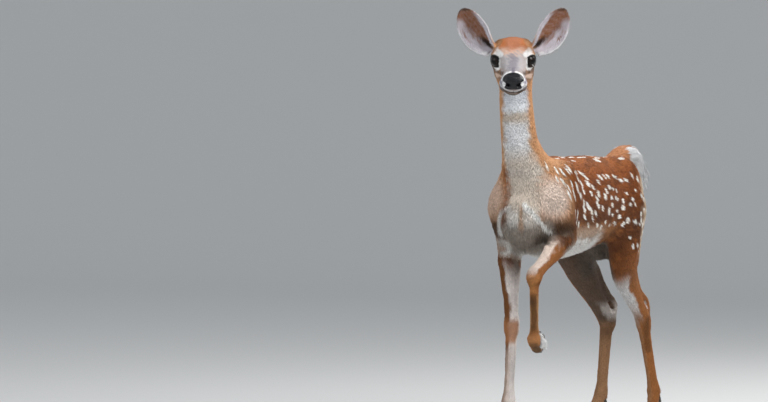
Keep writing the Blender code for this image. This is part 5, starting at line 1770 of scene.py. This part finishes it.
# %% Eyes
iris, iris_in, iris_out = shade_group("iris", (("In the eye", "Vector"),), (("Colour", "Color"),))
split = add_node(iris, "SeparateXYZ", [(0, iris_in.outputs["In the eye"])])
level_part = add_node(iris, "Math", [(0, split.outputs["X"]), (1, 0.62)], operation="MULTIPLY")
oval = add_node(iris, "CombineXYZ", [(0, level_part.outputs[0]), (1, split.outputs["Y"])])
reach = add_node(iris, "VectorMath", [(0, oval.outputs[0])], operation="LENGTH")
pupil = add_node(iris, "MapRange", [
    ("Value", reach.outputs["Value"]), ("From Min", 0.26), ("From Max", 0.34),
])
flat_part = add_node(iris, "CombineXYZ", [(0, split.outputs["X"]), (1, split.outputs["Y"])])
from_middle = add_node(iris, "VectorMath", [(0, flat_part.outputs[0])], operation="LENGTH")
outer = add_node(iris, "MapRange", [
    ("Value", from_middle.outputs["Value"]), ("From Min", 0.60), ("From Max", 0.74),
])
threads = add_node(iris, "TexNoise", [("Vector", flat_part.outputs[0]), ("Scale", 26.0), ("Detail", 4.0)])
DARK_BROWN, WARM_BROWN = (0.005, 0.0026, 0.0016, 1), (0.014, 0.0064, 0.0034, 1)
PUPIL_BLACK, EDGE_BLACK = (0.001, 0.001, 0.001, 1), (0.004, 0.003, 0.003, 1)
brown = add_node(iris, "Mix", [
    (0, threads.outputs["Fac"]), (6, DARK_BROWN), (7, WARM_BROWN),
], data_type="RGBA")
with_pupil = add_node(iris, "Mix", [
    (0, pupil.outputs[0]), (6, PUPIL_BLACK), (7, brown.outputs[2]),
], data_type="RGBA")
with_edge = add_node(iris, "Mix", [
    (0, outer.outputs[0]), (6, with_pupil.outputs[2]), (7, EDGE_BLACK),
], data_type="RGBA")
iris.links.new(with_edge.outputs[2], iris_out.inputs["Colour"])
in_eye = add_node(eye_finish.node_tree, "Attribute", attribute_name="in_eye")
iris_node = use_group(eye_finish, iris)
eye_finish.node_tree.links.new(in_eye.outputs["Vector"], iris_node.inputs[0])
eye_finish.node_tree.links.new(iris_node.outputs[0], eye_shader.inputs["Base Color"])
eye_shader.inputs["Roughness"].default_value = 0.05
eye_shader.inputs["Specular IOR Level"].default_value = 0.22
print("eye finish ready")

# %% Horn of hooves and dewclaws
HORN_DARK, HORN_WORN = (0.010, 0.009, 0.008, 1), (0.042, 0.034, 0.028, 1)
horn, horn_in, horn_out = shade_group("horn_rings", (("Ring spacing", "Float"),), LOOK)
place = add_node(horn, "TexCoord")
rings = add_node(horn, "TexWave", [
    ("Vector", place.outputs["Object"]), ("Scale", horn_in.outputs["Ring spacing"]),
    ("Distortion", 2.2), ("Detail", 2.0),
], bands_direction="Z")
wear = add_node(horn, "TexNoise", [("Vector", place.outputs["Object"]), ("Scale", 160.0), ("Detail", 4.0)])
horn_tint = add_node(horn, "Mix", [(0, wear.outputs["Fac"]), (6, HORN_DARK), (7, HORN_WORN)], data_type="RGBA")
horn_gloss = add_node(horn, "MapRange", [("Value", wear.outputs["Fac"]), ("To Min", 0.30), ("To Max", 0.55)])
horn.links.new(horn_tint.outputs[2], horn_out.inputs["Colour"])
horn.links.new(horn_gloss.outputs[0], horn_out.inputs["Roughness"])
horn.links.new(rings.outputs["Fac"], horn_out.inputs["Height"])
rings_node, tree = use_group(horn_finish, horn), horn_finish.node_tree
rings_node.inputs["Ring spacing"].default_value = 220.0
tree.links.new(rings_node.outputs["Colour"], horn_shader.inputs["Base Color"])
tree.links.new(rings_node.outputs["Roughness"], horn_shader.inputs["Roughness"])
growth = [("Height", rings_node.outputs["Height"]), ("Strength", 0.4), ("Distance", 0.0003)]
relief = add_node(tree, "Bump", growth)
tree.links.new(relief.outputs["Normal"], horn_shader.inputs["Normal"])
print("horn finish ready")

# %% Finish
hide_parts(*flesh)
for piece in [skin, nose, *eyeballs, *lids, *horn_pieces]:
    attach(piece, "root")
